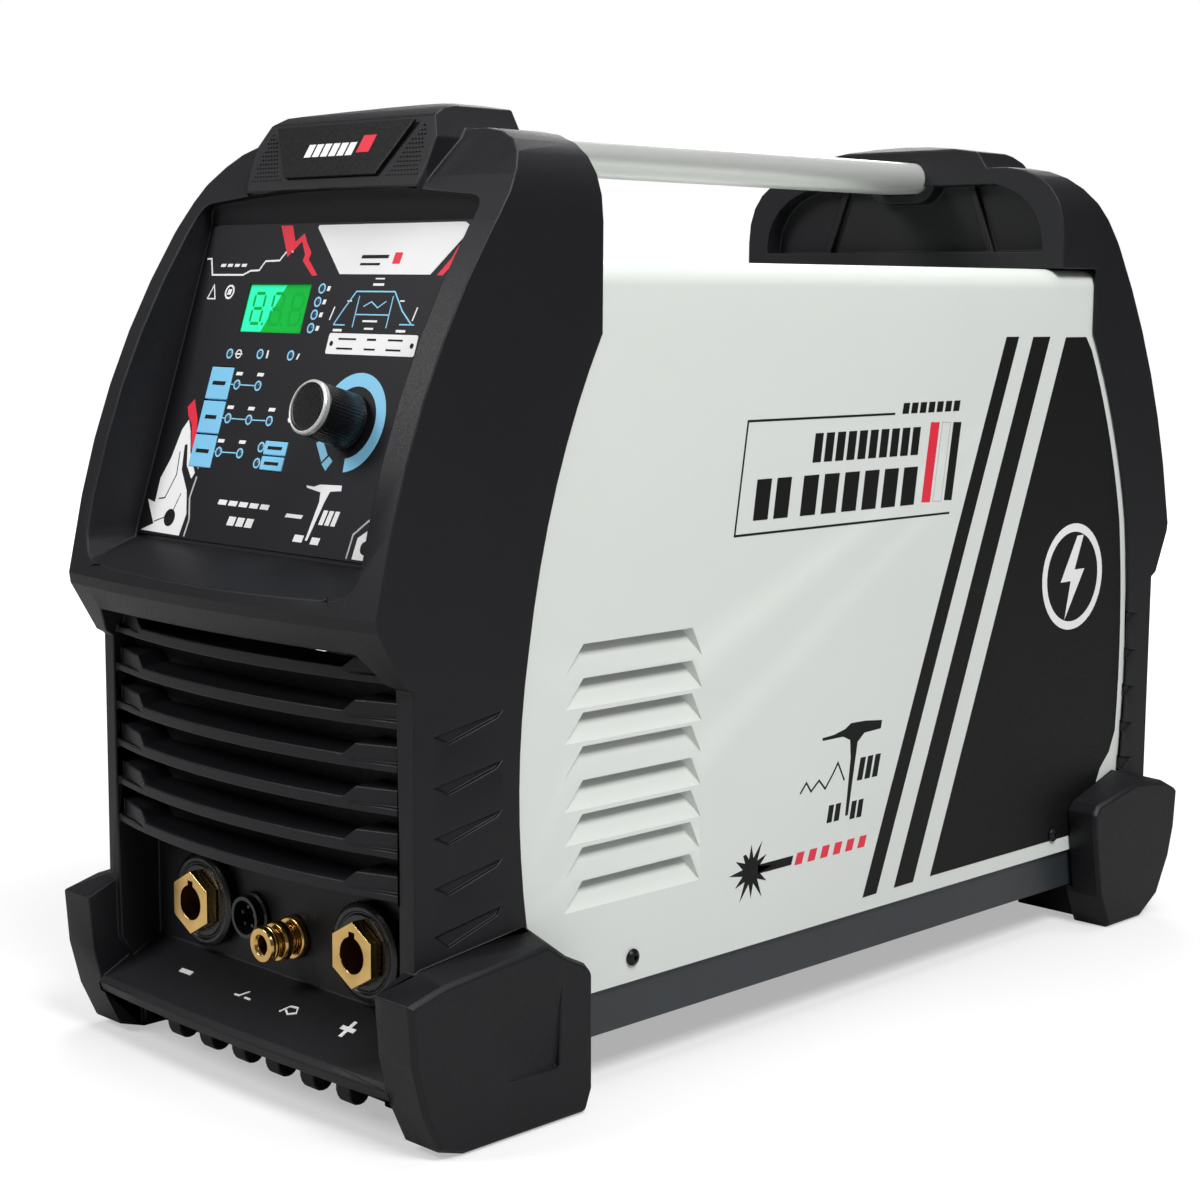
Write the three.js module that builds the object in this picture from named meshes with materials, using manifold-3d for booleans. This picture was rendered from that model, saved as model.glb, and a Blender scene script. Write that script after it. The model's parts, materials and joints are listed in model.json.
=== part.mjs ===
// Portable AC/DC TIG welding machine: two moulded bezels joined by a sheet steel cover, a base tray
// and a flat-oval carrying tube, with the control panel, connectors, fan and power parts inside.
// Millimetres. +X is the machine's left-to-right, +Y runs from front to rear, +Z is up.
// The origin is on the ground, under the middle of the machine.
import * as THREE from 'three';
import { mergeVertices } from 'three/addons/utils/BufferGeometryUtils.js';
import Module from 'manifold-3d';

const wasm = await Module();
wasm.setup();

// ---- driving dimensions -------------------------------------------------------------------
const FIT = 0.3;                 // gap between neighbouring pieces
const WALL = 3;                  // moulded wall
const SHEET = 1.2;               // cover sheet

const COVER_HALF = 90;
const COVER_TOP = 304;
const COVER_BOTTOM = 37;
const COVER_RADIUS = 9;
const COVER_TUCK = 8.7;          // how far the cover runs under each bezel's lip
const SCREW_Z = 46.4;

const BEZEL_HALF = 92;
const SHOULDER_TOP = 349.5;
const SHOULDER_START = 317;
const BOW = 7;                   // how far the front swells forward on the middle line
const NOSE_Y = -245.4;
const NOSE_Z = 182;
const COLUMN_TOP = 160;
const COLUMN_INNER = 84;
const COLUMN_BACK = -222;
const MIDDLE = -100;              // where each bezel's hollows run out, towards the middle
const BODY_BOTTOM = 19;
const FRONT_FACE = -141;         // handle-side face of the front bezel
const REAR_FACE = -148;          // the same on the rear bezel, in the bezel's own direction
const CROWN_LEAN = THREE.MathUtils.degToRad(22);
const CROWN_FOOT = [-191, 329];  // lower front edge of the crown, y and z

const PANEL_LEAN = THREE.MathUtils.degToRad(17.94);
const PANEL_FOOT = new THREE.Vector3(0, -222.45, 199.71);
const PANEL_HALF = 78.5;
const PANEL_TALL = 123;
const OVERLAY = 0.5;

const GRILLE_TOP = 172;
const GRILLE_BOTTOM = 84;
const SLAT_COUNT = 6;
const SLAT_PITCH = 15;
const SLAT_FIRST = 161.1;        // underside of the top slat
const SLAT_THICK = 4.5;
const SLAT_END_RISE = 4;
const SLAT_END_FROM = 65;
const SLAT_Y = -229.5;
const SLAT_BOW = 10.5;
const SLAT_BACK = -221.5;
const SCOOP_FROM = 60;           // where each slat's end starts to be cut back
const SCOOP_LIP = 2.8;           // height left whole under the cut
const SCOOP_DEPTH = 2.7;

const FOOT_HALF = 105.6;
const FOOT_INNER = 86.5;
const FOOT_REACH = 54;           // half width left open between the feet's inner blocks
const FOOT_BLOCK_Z = 2;
const POCKET = [[-174.3, 20.6], [-173.7, 51.8], [-213.7, 46], [-201.6, 20.7]];  // y and z, deepest first
const POCKET_DEPTH = 2.2;
const NUB_PITCH = 20.6;

const HANDLE_Z = 345.8;
const HANDLE_WIDE = 30;
const HANDLE_TALL = 14;
const HANDLE_WALL = 2;
const HANDLE_END = 166.7;

const DINSE_X = 48.8;
const DINSE_Z = 58.9;
const GAS_X = 4;
const GAS_Z = 54.5;
const TORCH_X = -20.4;
const TORCH_Z = 57.9;

const KNOB_U = 32.5;
const KNOB_V = 49;
const DISPLAY_U = -27.5;
const DISPLAY_V = 90.5;
const DISPLAY_WIDE = 37.5;
const DISPLAY_TALL = 19;

const TRAY_HALF = 88.2;
const TRAY_Z = 19.4;
const TRAY_THICK = 1.5;
const TRAY_FLANGE = 60;
const TRAY_SLOTS = 5;
const FAN_Z = 128;
const FAN_SIZE = 92;

// ---- materials ------------------------------------------------------------------------------
function paint(color, roughness, metalness = 0) {
  return new THREE.MeshStandardMaterial({ color, roughness, metalness });
}
const looks = {
  plastic: paint(0x232327, 0.5),
  gloss: paint(0x0d0d10, 0.25),
  cover: paint(0xd4d8d4, 0.45),
  tray: paint(0x2f3336, 0.4, 0.3),
  steel: paint(0x8d9092, 0.35, 1),
  zinc: paint(0x1a1a1c, 0.4, 0.6),
  aluminium: paint(0xbabdb7, 0.35, 1),
  brass: paint(0xbe9650, 0.25, 1),
  copper: paint(0xb8693c, 0.35, 1),
  overlay: paint(0x24242a, 0.35),
  blue: paint(0x82c3e6, 0.4),
  green: paint(0x0abe3c, 0.2),
  board: paint(0x1c5a34, 0.5),
  ferrite: paint(0x2b2b2e, 0.7),
  rubber: paint(0x18181a, 0.8),
};

// ---- solids ---------------------------------------------------------------------------------
function solid(geometry) {
  const bare = geometry.clone();
  for (const name of Object.keys(bare.attributes)) {
    if (name !== 'position') bare.deleteAttribute(name);
  }
  const merged = mergeVertices(bare, 1e-4);
  const index = merged.index.array;
  const kept = [];
  for (let i = 0; i < index.length; i += 3) {
    const [a, b, c] = [index[i], index[i + 1], index[i + 2]];
    if (a !== b && b !== c && c !== a) kept.push(a, b, c);
  }
  return new wasm.Manifold(new wasm.Mesh({
    numProp: 3,
    vertProperties: new Float32Array(merged.attributes.position.array),
    triVerts: new Uint32Array(kept),
  }));
}

function surface(body) {
  const mesh = body.getMesh();
  const geometry = new THREE.BufferGeometry();
  geometry.setAttribute('position', new THREE.BufferAttribute(mesh.vertProperties, 3));
  geometry.setIndex(new THREE.BufferAttribute(mesh.triVerts, 1));
  geometry.computeVertexNormals();
  return geometry;
}

const total = (...bodies) => bodies.reduce((sum, body) => sum.add(body));

const machine = new THREE.Group();
const panel = new THREE.Group();
panel.position.copy(PANEL_FOOT);
panel.rotation.x = Math.PI / 2 - PANEL_LEAN;
const crown = new THREE.Group();
crown.position.set(0, CROWN_FOOT[0], CROWN_FOOT[1]);
crown.rotation.x = Math.PI / 2 - CROWN_LEAN;
const rear = new THREE.Group();
rear.rotation.z = Math.PI;
const rearPanel = new THREE.Group();
rearPanel.position.copy(PANEL_FOOT);
rearPanel.rotation.copy(panel.rotation);
rear.add(rearPanel);
machine.add(panel, crown, rear);

function piece(name, shape, material, parent = machine) {
  const geometry = shape.isBufferGeometry ? shape : surface(shape);
  const mesh = new THREE.Mesh(geometry, material);
  mesh.name = name;
  parent.add(mesh);
  return mesh;
}

// ---- shape helpers ----------------------------------------------------------------------------
const outline = (points) => new THREE.Shape(points.map(([a, b]) => new THREE.Vector2(a, b)));

// An outline in y and z, run along x.
const TO_X = new THREE.Matrix4().set(0, 0, 1, 0, 1, 0, 0, 0, 0, 1, 0, 0, 0, 0, 0, 1);
// An outline in x and z, run along -y.
const TO_Y = new THREE.Matrix4().set(1, 0, 0, 0, 0, 0, -1, 0, 0, 1, 0, 0, 0, 0, 0, 1);

function run(shape, depth, curveSegments = 6) {
  return new THREE.ExtrudeGeometry(shape, { depth, curveSegments, bevelEnabled: false });
}

function alongX(shape, x0, x1, segments) {
  return run(shape, x1 - x0, segments).applyMatrix4(TO_X).translate(x0, 0, 0);
}

function alongY(shape, y0, y1, segments) {
  return run(shape, y1 - y0, segments).applyMatrix4(TO_Y).translate(0, y1, 0);
}

function alongZ(shape, z0, z1, segments) {
  return run(shape, z1 - z0, segments).translate(0, 0, z0);
}

// A side outline carried through stations along x; move() may shift the points of each station.
function loft(shape, stations, move, curveSegments = 8) {
  const count = stations.length - 1;
  const options = { depth: count, steps: count, curveSegments, bevelEnabled: false };
  const geometry = new THREE.ExtrudeGeometry(shape, options).applyMatrix4(TO_X);
  const place = geometry.attributes.position;
  for (let i = 0; i < place.count; i += 1) {
    const x = stations[Math.round(place.getX(i))];
    const [y, z] = move(x, place.getY(i), place.getZ(i));
    place.setXYZ(i, x, y, z);
  }
  return geometry;
}

const box = (x0, x1, y0, y1, z0, z1) => new THREE.BoxGeometry(x1 - x0, y1 - y0, z1 - z0)
  .translate((x0 + x1) / 2, (y0 + y1) / 2, (z0 + z1) / 2);

// A turned piece: points are radius and distance along the axis, which is +Z.
function turned(points, segments = 24) {
  return new THREE.LatheGeometry(points.map(([r, h]) => new THREE.Vector2(r, h)), segments)
    .rotateX(Math.PI / 2);
}

// A round bar or drill along +Y.
function barY(radius, x, y0, y1, z, segments = 24) {
  return new THREE.CylinderGeometry(radius, radius, y1 - y0, segments)
    .translate(x, (y0 + y1) / 2, z);
}

// A turned piece whose axis points forwards, along -Y, from the point given.
const turnedForward = (points, x, y, z, segments) => turned(points, segments)
  .rotateX(Math.PI / 2).translate(x, y, z);

function oval(wide, tall, centreZ) {
  const radius = tall / 2;
  const flat = wide / 2 - radius;
  const shape = new THREE.Shape();
  shape.absarc(flat, centreZ, radius, -Math.PI / 2, Math.PI / 2);
  shape.absarc(-flat, centreZ, radius, Math.PI / 2, Math.PI * 1.5);
  return shape;
}

function block(wide, tall, u = 0, v = 0) {
  const [a, b] = [wide / 2, tall / 2];
  return outline([[u - a, v - b], [u + a, v - b], [u + a, v + b], [u - a, v + b]]);
}

const onPanel = (geometry) => {
  panel.updateMatrix();
  return geometry.applyMatrix4(panel.matrix);
};

// ---- bezel outlines ---------------------------------------------------------------------------
// The curved skin shared by both bezels, from the shoulder down to the base.
function drawSkin(shape, column) {
  shape.lineTo(-166.5, SHOULDER_TOP);
  shape.quadraticCurveTo(-227, 282, -243.8, 192);
  shape.lineTo(NOSE_Y, NOSE_Z + 3);
  shape.lineTo(NOSE_Y + 0.6, NOSE_Z - 1);
  shape.lineTo(column - 3.6, COLUMN_TOP + 2);
  shape.lineTo(column, COLUMN_TOP);
  shape.lineTo(column, 40);
  shape.lineTo(column + 12, BODY_BOTTOM);
  return shape;
}

// The line where each bezel's lip ends over the cover, seen from the side.
function drawFrontSeam(shape, shift = 0) {
  shape.moveTo(-177 + shift, BODY_BOTTOM);
  shape.lineTo(-177 + shift, 68);
  shape.quadraticCurveTo(-185 + shift, 120, -176.5 + shift, 168);
  shape.quadraticCurveTo(-167.5 + shift, 229, FRONT_FACE + shift, 278);
  return shape;
}

function drawRearSeam(shape, shift = 0) {
  shape.moveTo(-207 + shift, BODY_BOTTOM);
  shape.lineTo(-209 + shift, 62);
  shape.quadraticCurveTo(-217 + shift, 130, -208.5 + shift, 189);
  shape.quadraticCurveTo(-198.5 + shift, 236, -175.5 + shift, 276);
  return shape;
}

const kinds = {
  front: {
    face: FRONT_FACE, field: 8, drawSeam: drawFrontSeam, ledge: FRONT_FACE, wall: -212, column: -230,
    top: 358.5,
    foot: [[-243.3, 57.5], [-241.6, 36.4], [-236.8, 18], [-230, 3.5], [-218.5, 0], [-160, 0],
      [-157, 8], [-157.4, 51.9], [-160.3, 55.2], [-170, 60], [-179, 66], [-228, 61.5]],
    under: [-220, -165],
  },
  rear: {
    face: REAR_FACE, field: 10, drawSeam: drawRearSeam, ledge: -175.5, wall: -220, column: -232.5,
    top: 357.3,
    foot: [[-241, 58], [-239.4, 40], [-235.5, 26], [-226, 8.5], [-212, 0], [-184, 0], [-176, 16],
      [-170, 48], [-169.5, 56], [-173, 60], [-205, 66], [-229, 63.5]],
    under: [-213, -185],
  },
};

function sideOutline({ face, drawSeam, ledge, column }) {
  const shape = drawSeam(new THREE.Shape());
  shape.lineTo(ledge, COVER_TOP + FIT);
  if (ledge !== face) shape.lineTo(face, COVER_TOP + FIT);
  shape.lineTo(face, SHOULDER_TOP);
  return drawSkin(shape, column);
}

function endOutline(inset = 0, bottom = 0) {
  const half = BEZEL_HALF - inset;
  const top = SHOULDER_TOP - inset;
  const shape = new THREE.Shape();
  shape.moveTo(-half, bottom);
  shape.lineTo(-half, SHOULDER_START);
  shape.quadraticCurveTo(-half, SHOULDER_START + 30, -60, top);
  shape.lineTo(60, top);
  shape.quadraticCurveTo(half, SHOULDER_START + 30, half, SHOULDER_START);
  shape.lineTo(half, bottom);
  return shape;
}

const spread = (half, count) => Array.from({ length: count + 1 }, (_, i) => half * (2 * i / count - 1));

function bowed(x, y, z) {
  const swell = BOW * (1 - (x / BEZEL_HALF) ** 2);
  const share = THREE.MathUtils.clamp((-y - 160) / 20, 0, 1);
  return [y - (z > 100 ? swell * share : 0), z];
}

// ---- bezel: outer body and hollows --------------------------------------------------------------
function crownBody({ face, top }) {
  const [y, z] = CROWN_FOOT;
  const frontTop = y + (top - 3 - z) * Math.tan(CROWN_LEAN);
  const side = outline([[face, z - 8], [face, top + 1], [face - 5, top + 3.2], [frontTop + 6, top - 1.5],
    [frontTop, top - 4.5], [y, z], [y + 6, z - 8]]);
  const front = new THREE.Shape();
  front.moveTo(-50.5, z - 8);
  front.lineTo(-51.5, 346);
  front.lineTo(-44.5, top - 0.6);
  front.quadraticCurveTo(0, top + 7, 44.5, top - 0.6);
  front.lineTo(51.5, 346);
  front.lineTo(50.5, z - 8);
  const plan = outline([[-60, face], [-60, -172], [-48, -193], [48, -193], [60, -172], [60, face]]);
  return solid(alongX(side, -60, 60))
    .intersect(solid(alongY(front, -200, -130)))
    .intersect(solid(alongZ(plan, z - 10, 370)));
}

function outerBody(kind) {
  const body = solid(loft(sideOutline(kind), spread(BEZEL_HALF, 12), bowed));
  return body.intersect(solid(alongY(endOutline(), -270, -120)));
}

// The room behind the grille, the panel and the crown.
function deepHollow({ face, field, ledge, wall }) {
  const back = face - field - WALL;
  const skin = -OVERLAY - FIT - WALL;
  const roofZ = COVER_TOP + FIT;
  const side = outline([[MIDDLE, BODY_BOTTOM], [wall + WALL, BODY_BOTTOM],
    [wall + WALL, GRILLE_BOTTOM + WALL], [COLUMN_BACK, GRILLE_BOTTOM + WALL],
    [COLUMN_BACK, 163], [-234, 176], [-237, 186],
    panelPoint(-WALL, skin), panelPoint(PANEL_TALL, skin), [-180, 331], [-169, 340], [-163, 346],
    [back, 346], [back, roofZ + WALL], [ledge - 5, roofZ + WALL], [ledge - 5, roofZ], [MIDDLE, roofZ]]);
  const half = BEZEL_HALF - WALL - 0.5;
  const room = solid(alongX(side, -half, half)).intersect(solid(alongY(endOutline(3.5), -270, -90)));
  const roof = outline([[back, 330], [back, 354], [-172, 350.5], [-178, 338], [-178, 330]]);
  return room.add(solid(alongX(roof, -44, 44)));
}

// The slot that the cover's edge slides into.
function coverSlot({ drawSeam, ledge }) {
  const edge = -COVER_TUCK - FIT;
  const lip = drawSeam(new THREE.Shape(), edge);
  lip.lineTo(ledge + edge, COVER_TOP + FIT);
  lip.lineTo(MIDDLE, COVER_TOP + FIT);
  lip.lineTo(MIDDLE, BODY_BOTTOM);
  return solid(alongX(lip, -COVER_HALF - FIT, COVER_HALF + FIT));
}

// The sunk field around the handle's end, with its ribs left standing.
function handleField({ face, field }) {
  const shape = new THREE.Shape();
  shape.moveTo(-80, COVER_TOP + 8);
  shape.lineTo(-80, 316);
  shape.quadraticCurveTo(-78, 336, -54, 342);
  shape.lineTo(54, 342);
  shape.quadraticCurveTo(78, 336, 80, 316);
  shape.lineTo(80, COVER_TOP + 8);
  const pocket = solid(alongY(shape, face - field, face + 1));
  const rib = outline([[34, 342.5], [38, 342.5], [50, 311], [46, 311]]);
  const right = alongY(rib, face - field - 1, face - field + 3);
  const left = right.clone().rotateZ(Math.PI).translate(0, 2 * (face - field) + 2, 0);
  const ribs = [solid(right), solid(left)];
  const boss = solid(alongY(oval(HANDLE_WIDE + 10, HANDLE_TALL + 9, HANDLE_Z), face - field - 1, face - 2));
  return pocket.subtract(total(...ribs, boss));
}

function handleSeat(face) {
  return solid(alongY(oval(HANDLE_WIDE + 8, HANDLE_TALL + 6, HANDLE_Z - 0.5), -171, face - 4));
}

function handleHoles(face) {
  const pocket = solid(alongY(oval(HANDLE_WIDE + 2 * FIT, HANDLE_TALL + 2 * FIT, HANDLE_Z),
    -HANDLE_END - FIT, face + 1));
  const screw = solid(barY(3.2, 0, -172, -160, HANDLE_Z));
  const reach = solid(barY(6.5, 0, -200, -170.7, HANDLE_Z));
  return total(pocket, screw, reach);
}

// ---- bezel: control recess, grille, sill, feet ----------------------------------------------------
function panelPoint(v, w) {
  return [PANEL_FOOT.y + v * Math.sin(PANEL_LEAN) - w * Math.cos(PANEL_LEAN),
    PANEL_FOOT.z + v * Math.cos(PANEL_LEAN) + w * Math.sin(PANEL_LEAN)];
}

function controlRecess() {
  const floor = -OVERLAY - FIT;
  const side = outline([panelPoint(-1.5, floor), [-243.5, 191.5], [-270, 183.4], [-270, 340],
    [-262, 329], [-185, 329], panelPoint(PANEL_TALL + 0.8, floor)]);
  const front = new THREE.Shape();
  front.moveTo(-68, 183);
  front.lineTo(-68, 190.5);
  front.quadraticCurveTo(-81, 190.5, -81, 203.5);
  front.lineTo(-81, 318);
  front.quadraticCurveTo(-81, 324.5, -75, 325.2);
  front.quadraticCurveTo(0, 333, 75, 325.2);
  front.quadraticCurveTo(81, 324.5, 81, 318);
  front.lineTo(81, 203.5);
  front.quadraticCurveTo(81, 190.5, 68, 190.5);
  front.lineTo(68, 183);
  return solid(alongX(side, -90, 90)).intersect(solid(alongY(front, -275, -170)));
}

function grilleWindow() {
  const shape = outline([[-COLUMN_INNER, GRILLE_BOTTOM], [COLUMN_INNER, GRILLE_BOTTOM],
    [COLUMN_INNER, 161], [76, GRILLE_TOP], [-76, GRILLE_TOP], [-COLUMN_INNER, 161]]);
  return solid(alongY(shape, -270, SLAT_BACK + 0.5));
}

// The end of a slat's face is cut back above a narrow lip.
function slatScoop(z, side) {
  const start = SLAT_Y - SLAT_BOW * (1 - (SCOOP_FROM / 85) ** 2);
  const plan = outline([[SCOOP_FROM * side, start], [86 * side, SLAT_Y + SCOOP_DEPTH],
    [86 * side, start - SLAT_BOW], [SCOOP_FROM * side, start - SLAT_BOW]]);
  return solid(alongZ(plan, z + SCOOP_LIP, z + SLAT_PITCH));
}

function slat(index) {
  const z = SLAT_FIRST - index * SLAT_PITCH;
  const side = outline([[SLAT_Y, z], [SLAT_BACK, z + 1], [SLAT_BACK, z + SLAT_THICK + 1],
    [SLAT_Y, z + SLAT_THICK]]);
  const stations = [-85, -SLAT_END_FROM, -SLAT_END_FROM + 5, -40, -20, 0, 20, 40,
    SLAT_END_FROM - 5, SLAT_END_FROM, 85];
  const blade = solid(loft(side, stations, (x, y, height) => {
    const forward = y < SLAT_BACK - 1 ? SLAT_BOW * (1 - (x / 85) ** 2) : 0;
    const raised = height > z + 2 && Math.abs(x) >= SLAT_END_FROM;
    return [y - forward, raised ? height + SLAT_END_RISE : height];
  }));
  return blade.subtract(slatScoop(z, 1)).subtract(slatScoop(z, -1));
}

function sill({ wall }) {
  const back = wall + WALL;
  const side = outline([[back, 39.5], [wall, 38], [-237, 25], [-238.5, 22.5], [-237, 18.5],
    [back, 18.5]]);
  return solid(loft(side, spread(88, 6), (x, y, z) => [y < -230 ? y - 3 * (1 - (x / 88) ** 2) : y, z]));
}

function nubs() {
  const side = new THREE.Shape();
  side.moveTo(-219, 19);
  side.lineTo(-229, 19);
  side.lineTo(-229, 11);
  side.quadraticCurveTo(-228, 6, -224, 6);
  side.quadraticCurveTo(-220, 6, -219, 11);
  const places = [-2.5, -1.5, -0.5, 0.5, 1.5, 2.5].map((step) => step * NUB_PITCH);
  return total(...places.map((x) => solid(alongX(side, x - 4, x + 4, 4))));
}

// side is +1 or -1, the sign of x.
function foot({ foot: points, under: [front, back] }, side) {
  const ring = outline(points);
  const stations = [FOOT_INNER, BEZEL_HALF + FIT, FOOT_HALF - 2, FOOT_HALF].map((x) => x * side);
  const inward = (x) => Math.abs(x) < FOOT_HALF - 3;
  const pad = solid(loft(ring, side > 0 ? stations : stations.reverse(), (x, y, z) => {
    if (inward(x) && z > 61 && y < -220 && y > -230) return [y, 64];
    if (inward(x) && z > 65) return [y, 70];
    if (Math.abs(x) < FOOT_HALF) return [y, z];
    return [THREE.MathUtils.lerp(y, -200, 0.03), z < 1 ? z + 1.5 : THREE.MathUtils.lerp(z, 32, 0.04)];
  }));
  const [near, far] = [FOOT_REACH * side, (FOOT_INNER + 3) * side];
  const under = box(Math.min(near, far), Math.max(near, far), front, back, FOOT_BLOCK_Z, BODY_BOTTOM);
  return pad.add(solid(under));
}

// A shallow pocket in a front foot's outer side.
function footPocket(side) {
  const [deep] = POCKET;
  const rim = POCKET.map(([y, z]) => [FOOT_HALF + 0.05, y, z]);
  const corners = [...rim, [FOOT_HALF + 1, ...deep], [FOOT_HALF - POCKET_DEPTH, ...deep]];
  return wasm.Manifold.hull(corners.map(([x, y, z]) => [x * side, y, z]));
}

// Shallow wedge grooves pressed into the column's outer side.
function columnDimples(side) {
  const levels = [143.5, 126, 108.5, 91, 74];
  return levels.map((z, i) => {
    const tall = i === levels.length - 1 ? 9 : 6;
    const shape = outline([[-220, z], [-190, z + 5], [-192, z + 5 - tall * 0.3], [-214, z - tall * 0.5]]);
    const depth = side > 0 ? [BEZEL_HALF - 1.2, BEZEL_HALF + 2] : [-BEZEL_HALF - 2, -BEZEL_HALF + 1.2];
    return solid(alongX(shape, ...depth));
  });
}

function bezel(kind) {
  const { face, wall } = kinds[kind];
  const lowerCut = box(-COLUMN_INNER, COLUMN_INNER, -270, wall, -5, GRILLE_BOTTOM + 0.01);
  return total(outerBody(kinds[kind]), crownBody(kinds[kind]), foot(kinds[kind], 1), foot(kinds[kind], -1))
    .subtract(deepHollow(kinds[kind]))
    .subtract(coverSlot(kinds[kind]))
    .add(handleSeat(face))
    .subtract(handleField(kinds[kind]))
    .subtract(handleHoles(face))
    .subtract(controlRecess())
    .subtract(grilleWindow())
    .subtract(solid(lowerCut))
    .add(total(...Array.from({ length: SLAT_COUNT }, (_, i) => slat(i))))
    .add(sill(kinds[kind]))
    .subtract(total(...columnDimples(1), ...columnDimples(-1)));
}

// ---- front bezel --------------------------------------------------------------------------------
const keys = [
  { name: 'key_output', u: -50, v: 60.6, wide: 13.6, tall: 12.6 },
  { name: 'key_mode', u: -50, v: 47.3, wide: 13.6, tall: 12.6 },
  { name: 'key_trigger', u: -50, v: 34, wide: 13.6, tall: 12.6 },
  { name: 'key_save', u: -6.5, v: 37.4, wide: 13, tall: 5.2 },
  { name: 'key_load', u: -6.5, v: 31.6, wide: 13, tall: 5.2 },
];
const KEY_WINDOWS = [
  { u: -50, v: 47.3, wide: 14.2, tall: 39.9 },
  { u: -6.5, v: 34.5, wide: 13.6, tall: 11.6 },
];

function panelOpenings() {
  const cuts = KEY_WINDOWS.map(({ u, v, wide, tall }) => run(block(wide, tall, u, v), 8));
  cuts.push(run(block(DISPLAY_WIDE + 1.5, DISPLAY_TALL + 1.5, DISPLAY_U, DISPLAY_V), 8));
  cuts.push(turned([[0, 0], [3.9, 0], [3.9, 8], [0, 8]]).translate(KNOB_U, KNOB_V, 0));
  return total(...cuts.map((cut) => solid(onPanel(cut.translate(0, 0, -6)))));
}

function connectorHoles() {
  return total(
    solid(barY(12.3, -DINSE_X, kinds.front.wall - 1, -205, DINSE_Z)),
    solid(barY(12.3, DINSE_X, kinds.front.wall - 1, -205, DINSE_Z)),
    solid(barY(5.8, GAS_X, kinds.front.wall - 1, -205, GAS_Z)),
    solid(barY(7.3, TORCH_X, kinds.front.wall - 1, -205, TORCH_Z)),
  );
}

function addFrontBezel() {
  const body = bezel('front').add(nubs())
    .subtract(panelOpenings())
    .subtract(connectorHoles())
    .subtract(footPocket(1))
    .subtract(footPocket(-1));
  piece('front_bezel', body, looks.plastic);
}

// A push-fit dust filter that closes the grille from behind.
function addDustFilter() {
  const half = BEZEL_HALF - WALL - 1;
  const near = SLAT_BACK + FIT;
  const sheet = box(-half, half, near, near + 1.6, GRILLE_BOTTOM + WALL + FIT, 162);
  piece('dust_filter', sheet, looks.rubber);
}

// ---- rear bezel: same mould family, turned about Z ------------------------------------------------
const SWITCH_U = -45;
const SWITCH_V = 78;
const GLAND_X = -46;
const GLAND_Z = 60;
const INLET_X = 40;

function addRearBezel() {
  const switchHole = run(block(22.4, 28.4, SWITCH_U, SWITCH_V), 8).translate(0, 0, -6);
  const body = bezel('rear')
    .subtract(solid(onPanel(switchHole)))
    .subtract(solid(barY(9.3, GLAND_X, kinds.rear.wall - 1, -205, GLAND_Z)))
    .subtract(solid(barY(5.3, INLET_X, kinds.rear.wall - 1, -205, GLAND_Z)));
  piece('rear_bezel', body, looks.plastic, rear);
}

// ---- cover ------------------------------------------------------------------------------------
const LOUVRE_COUNT = 8;
const LOUVRE_PITCH = 12.46;
const LOUVRE_TOP = 167.5;
const LOUVRE_DEEP = 5.5;

function archOutline(inset) {
  const half = COVER_HALF - inset;
  const top = COVER_TOP - inset;
  const radius = COVER_RADIUS - inset;
  const shape = new THREE.Shape();
  shape.moveTo(-half, -10);
  shape.lineTo(half, -10);
  shape.lineTo(half, top - radius);
  shape.absarc(half - radius, top - radius, radius, 0, Math.PI / 2);
  shape.absarc(-half + radius, top - radius, radius, Math.PI / 2, Math.PI);
  return shape;
}

function coverSide() {
  const shape = drawFrontSeam(new THREE.Shape(), -COVER_TUCK);
  shape.lineTo(FRONT_FACE - COVER_TUCK, COVER_TOP + 1);
  shape.lineTo(175.5 + COVER_TUCK, COVER_TOP + 1);
  shape.lineTo(175.5 + COVER_TUCK, 276);
  shape.quadraticCurveTo(198.5 + COVER_TUCK, 236, 208.5 + COVER_TUCK, 189);
  shape.quadraticCurveTo(217 + COVER_TUCK - 1.5, 130, 209 + COVER_TUCK, 62);
  shape.lineTo(207 + COVER_TUCK, BODY_BOTTOM);
  return solid(alongX(shape, -100, 100))
    .intersect(solid(box(-100, 100, -300, 300, COVER_BOTTOM, 400)));
}

// A pressed louvre's outline at depth 0, sunk along its top edge; grow thickens it.
function louvre(side, top, grow) {
  const plane = (COVER_HALF + (grow ? -SHEET / 2 : FIT)) * side;
  const deep = (COVER_HALF - LOUVRE_DEEP - grow) * side;
  const [low, high] = [top - 11.3 - grow * 0.6, top + (grow ? -FIT : 0)];
  const corners = [[plane, -157.5 - grow, low], [plane, -84 + grow, low], [plane, -90 + grow, high],
    [plane, -148 - grow, high], [deep, -91.5 + grow, high], [deep, -146.5 - grow, high]];
  const faces = [[0, 3, 2], [0, 2, 1], [3, 5, 4], [3, 4, 2], [0, 5, 3], [1, 2, 4], [0, 1, 4], [0, 4, 5]];
  const geometry = new THREE.BufferGeometry();
  const order = side > 0 ? [0, 2, 1] : [0, 1, 2];
  geometry.setAttribute('position', new THREE.Float32BufferAttribute(corners.flat(), 3));
  geometry.setIndex(faces.flatMap((face) => order.map((i) => face[i])));
  return solid(geometry);
}

const COVER_SCREWS = [[1, -121.5], [-1, -121.5], [1, 157.6], [-1, 157.6]];

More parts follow.
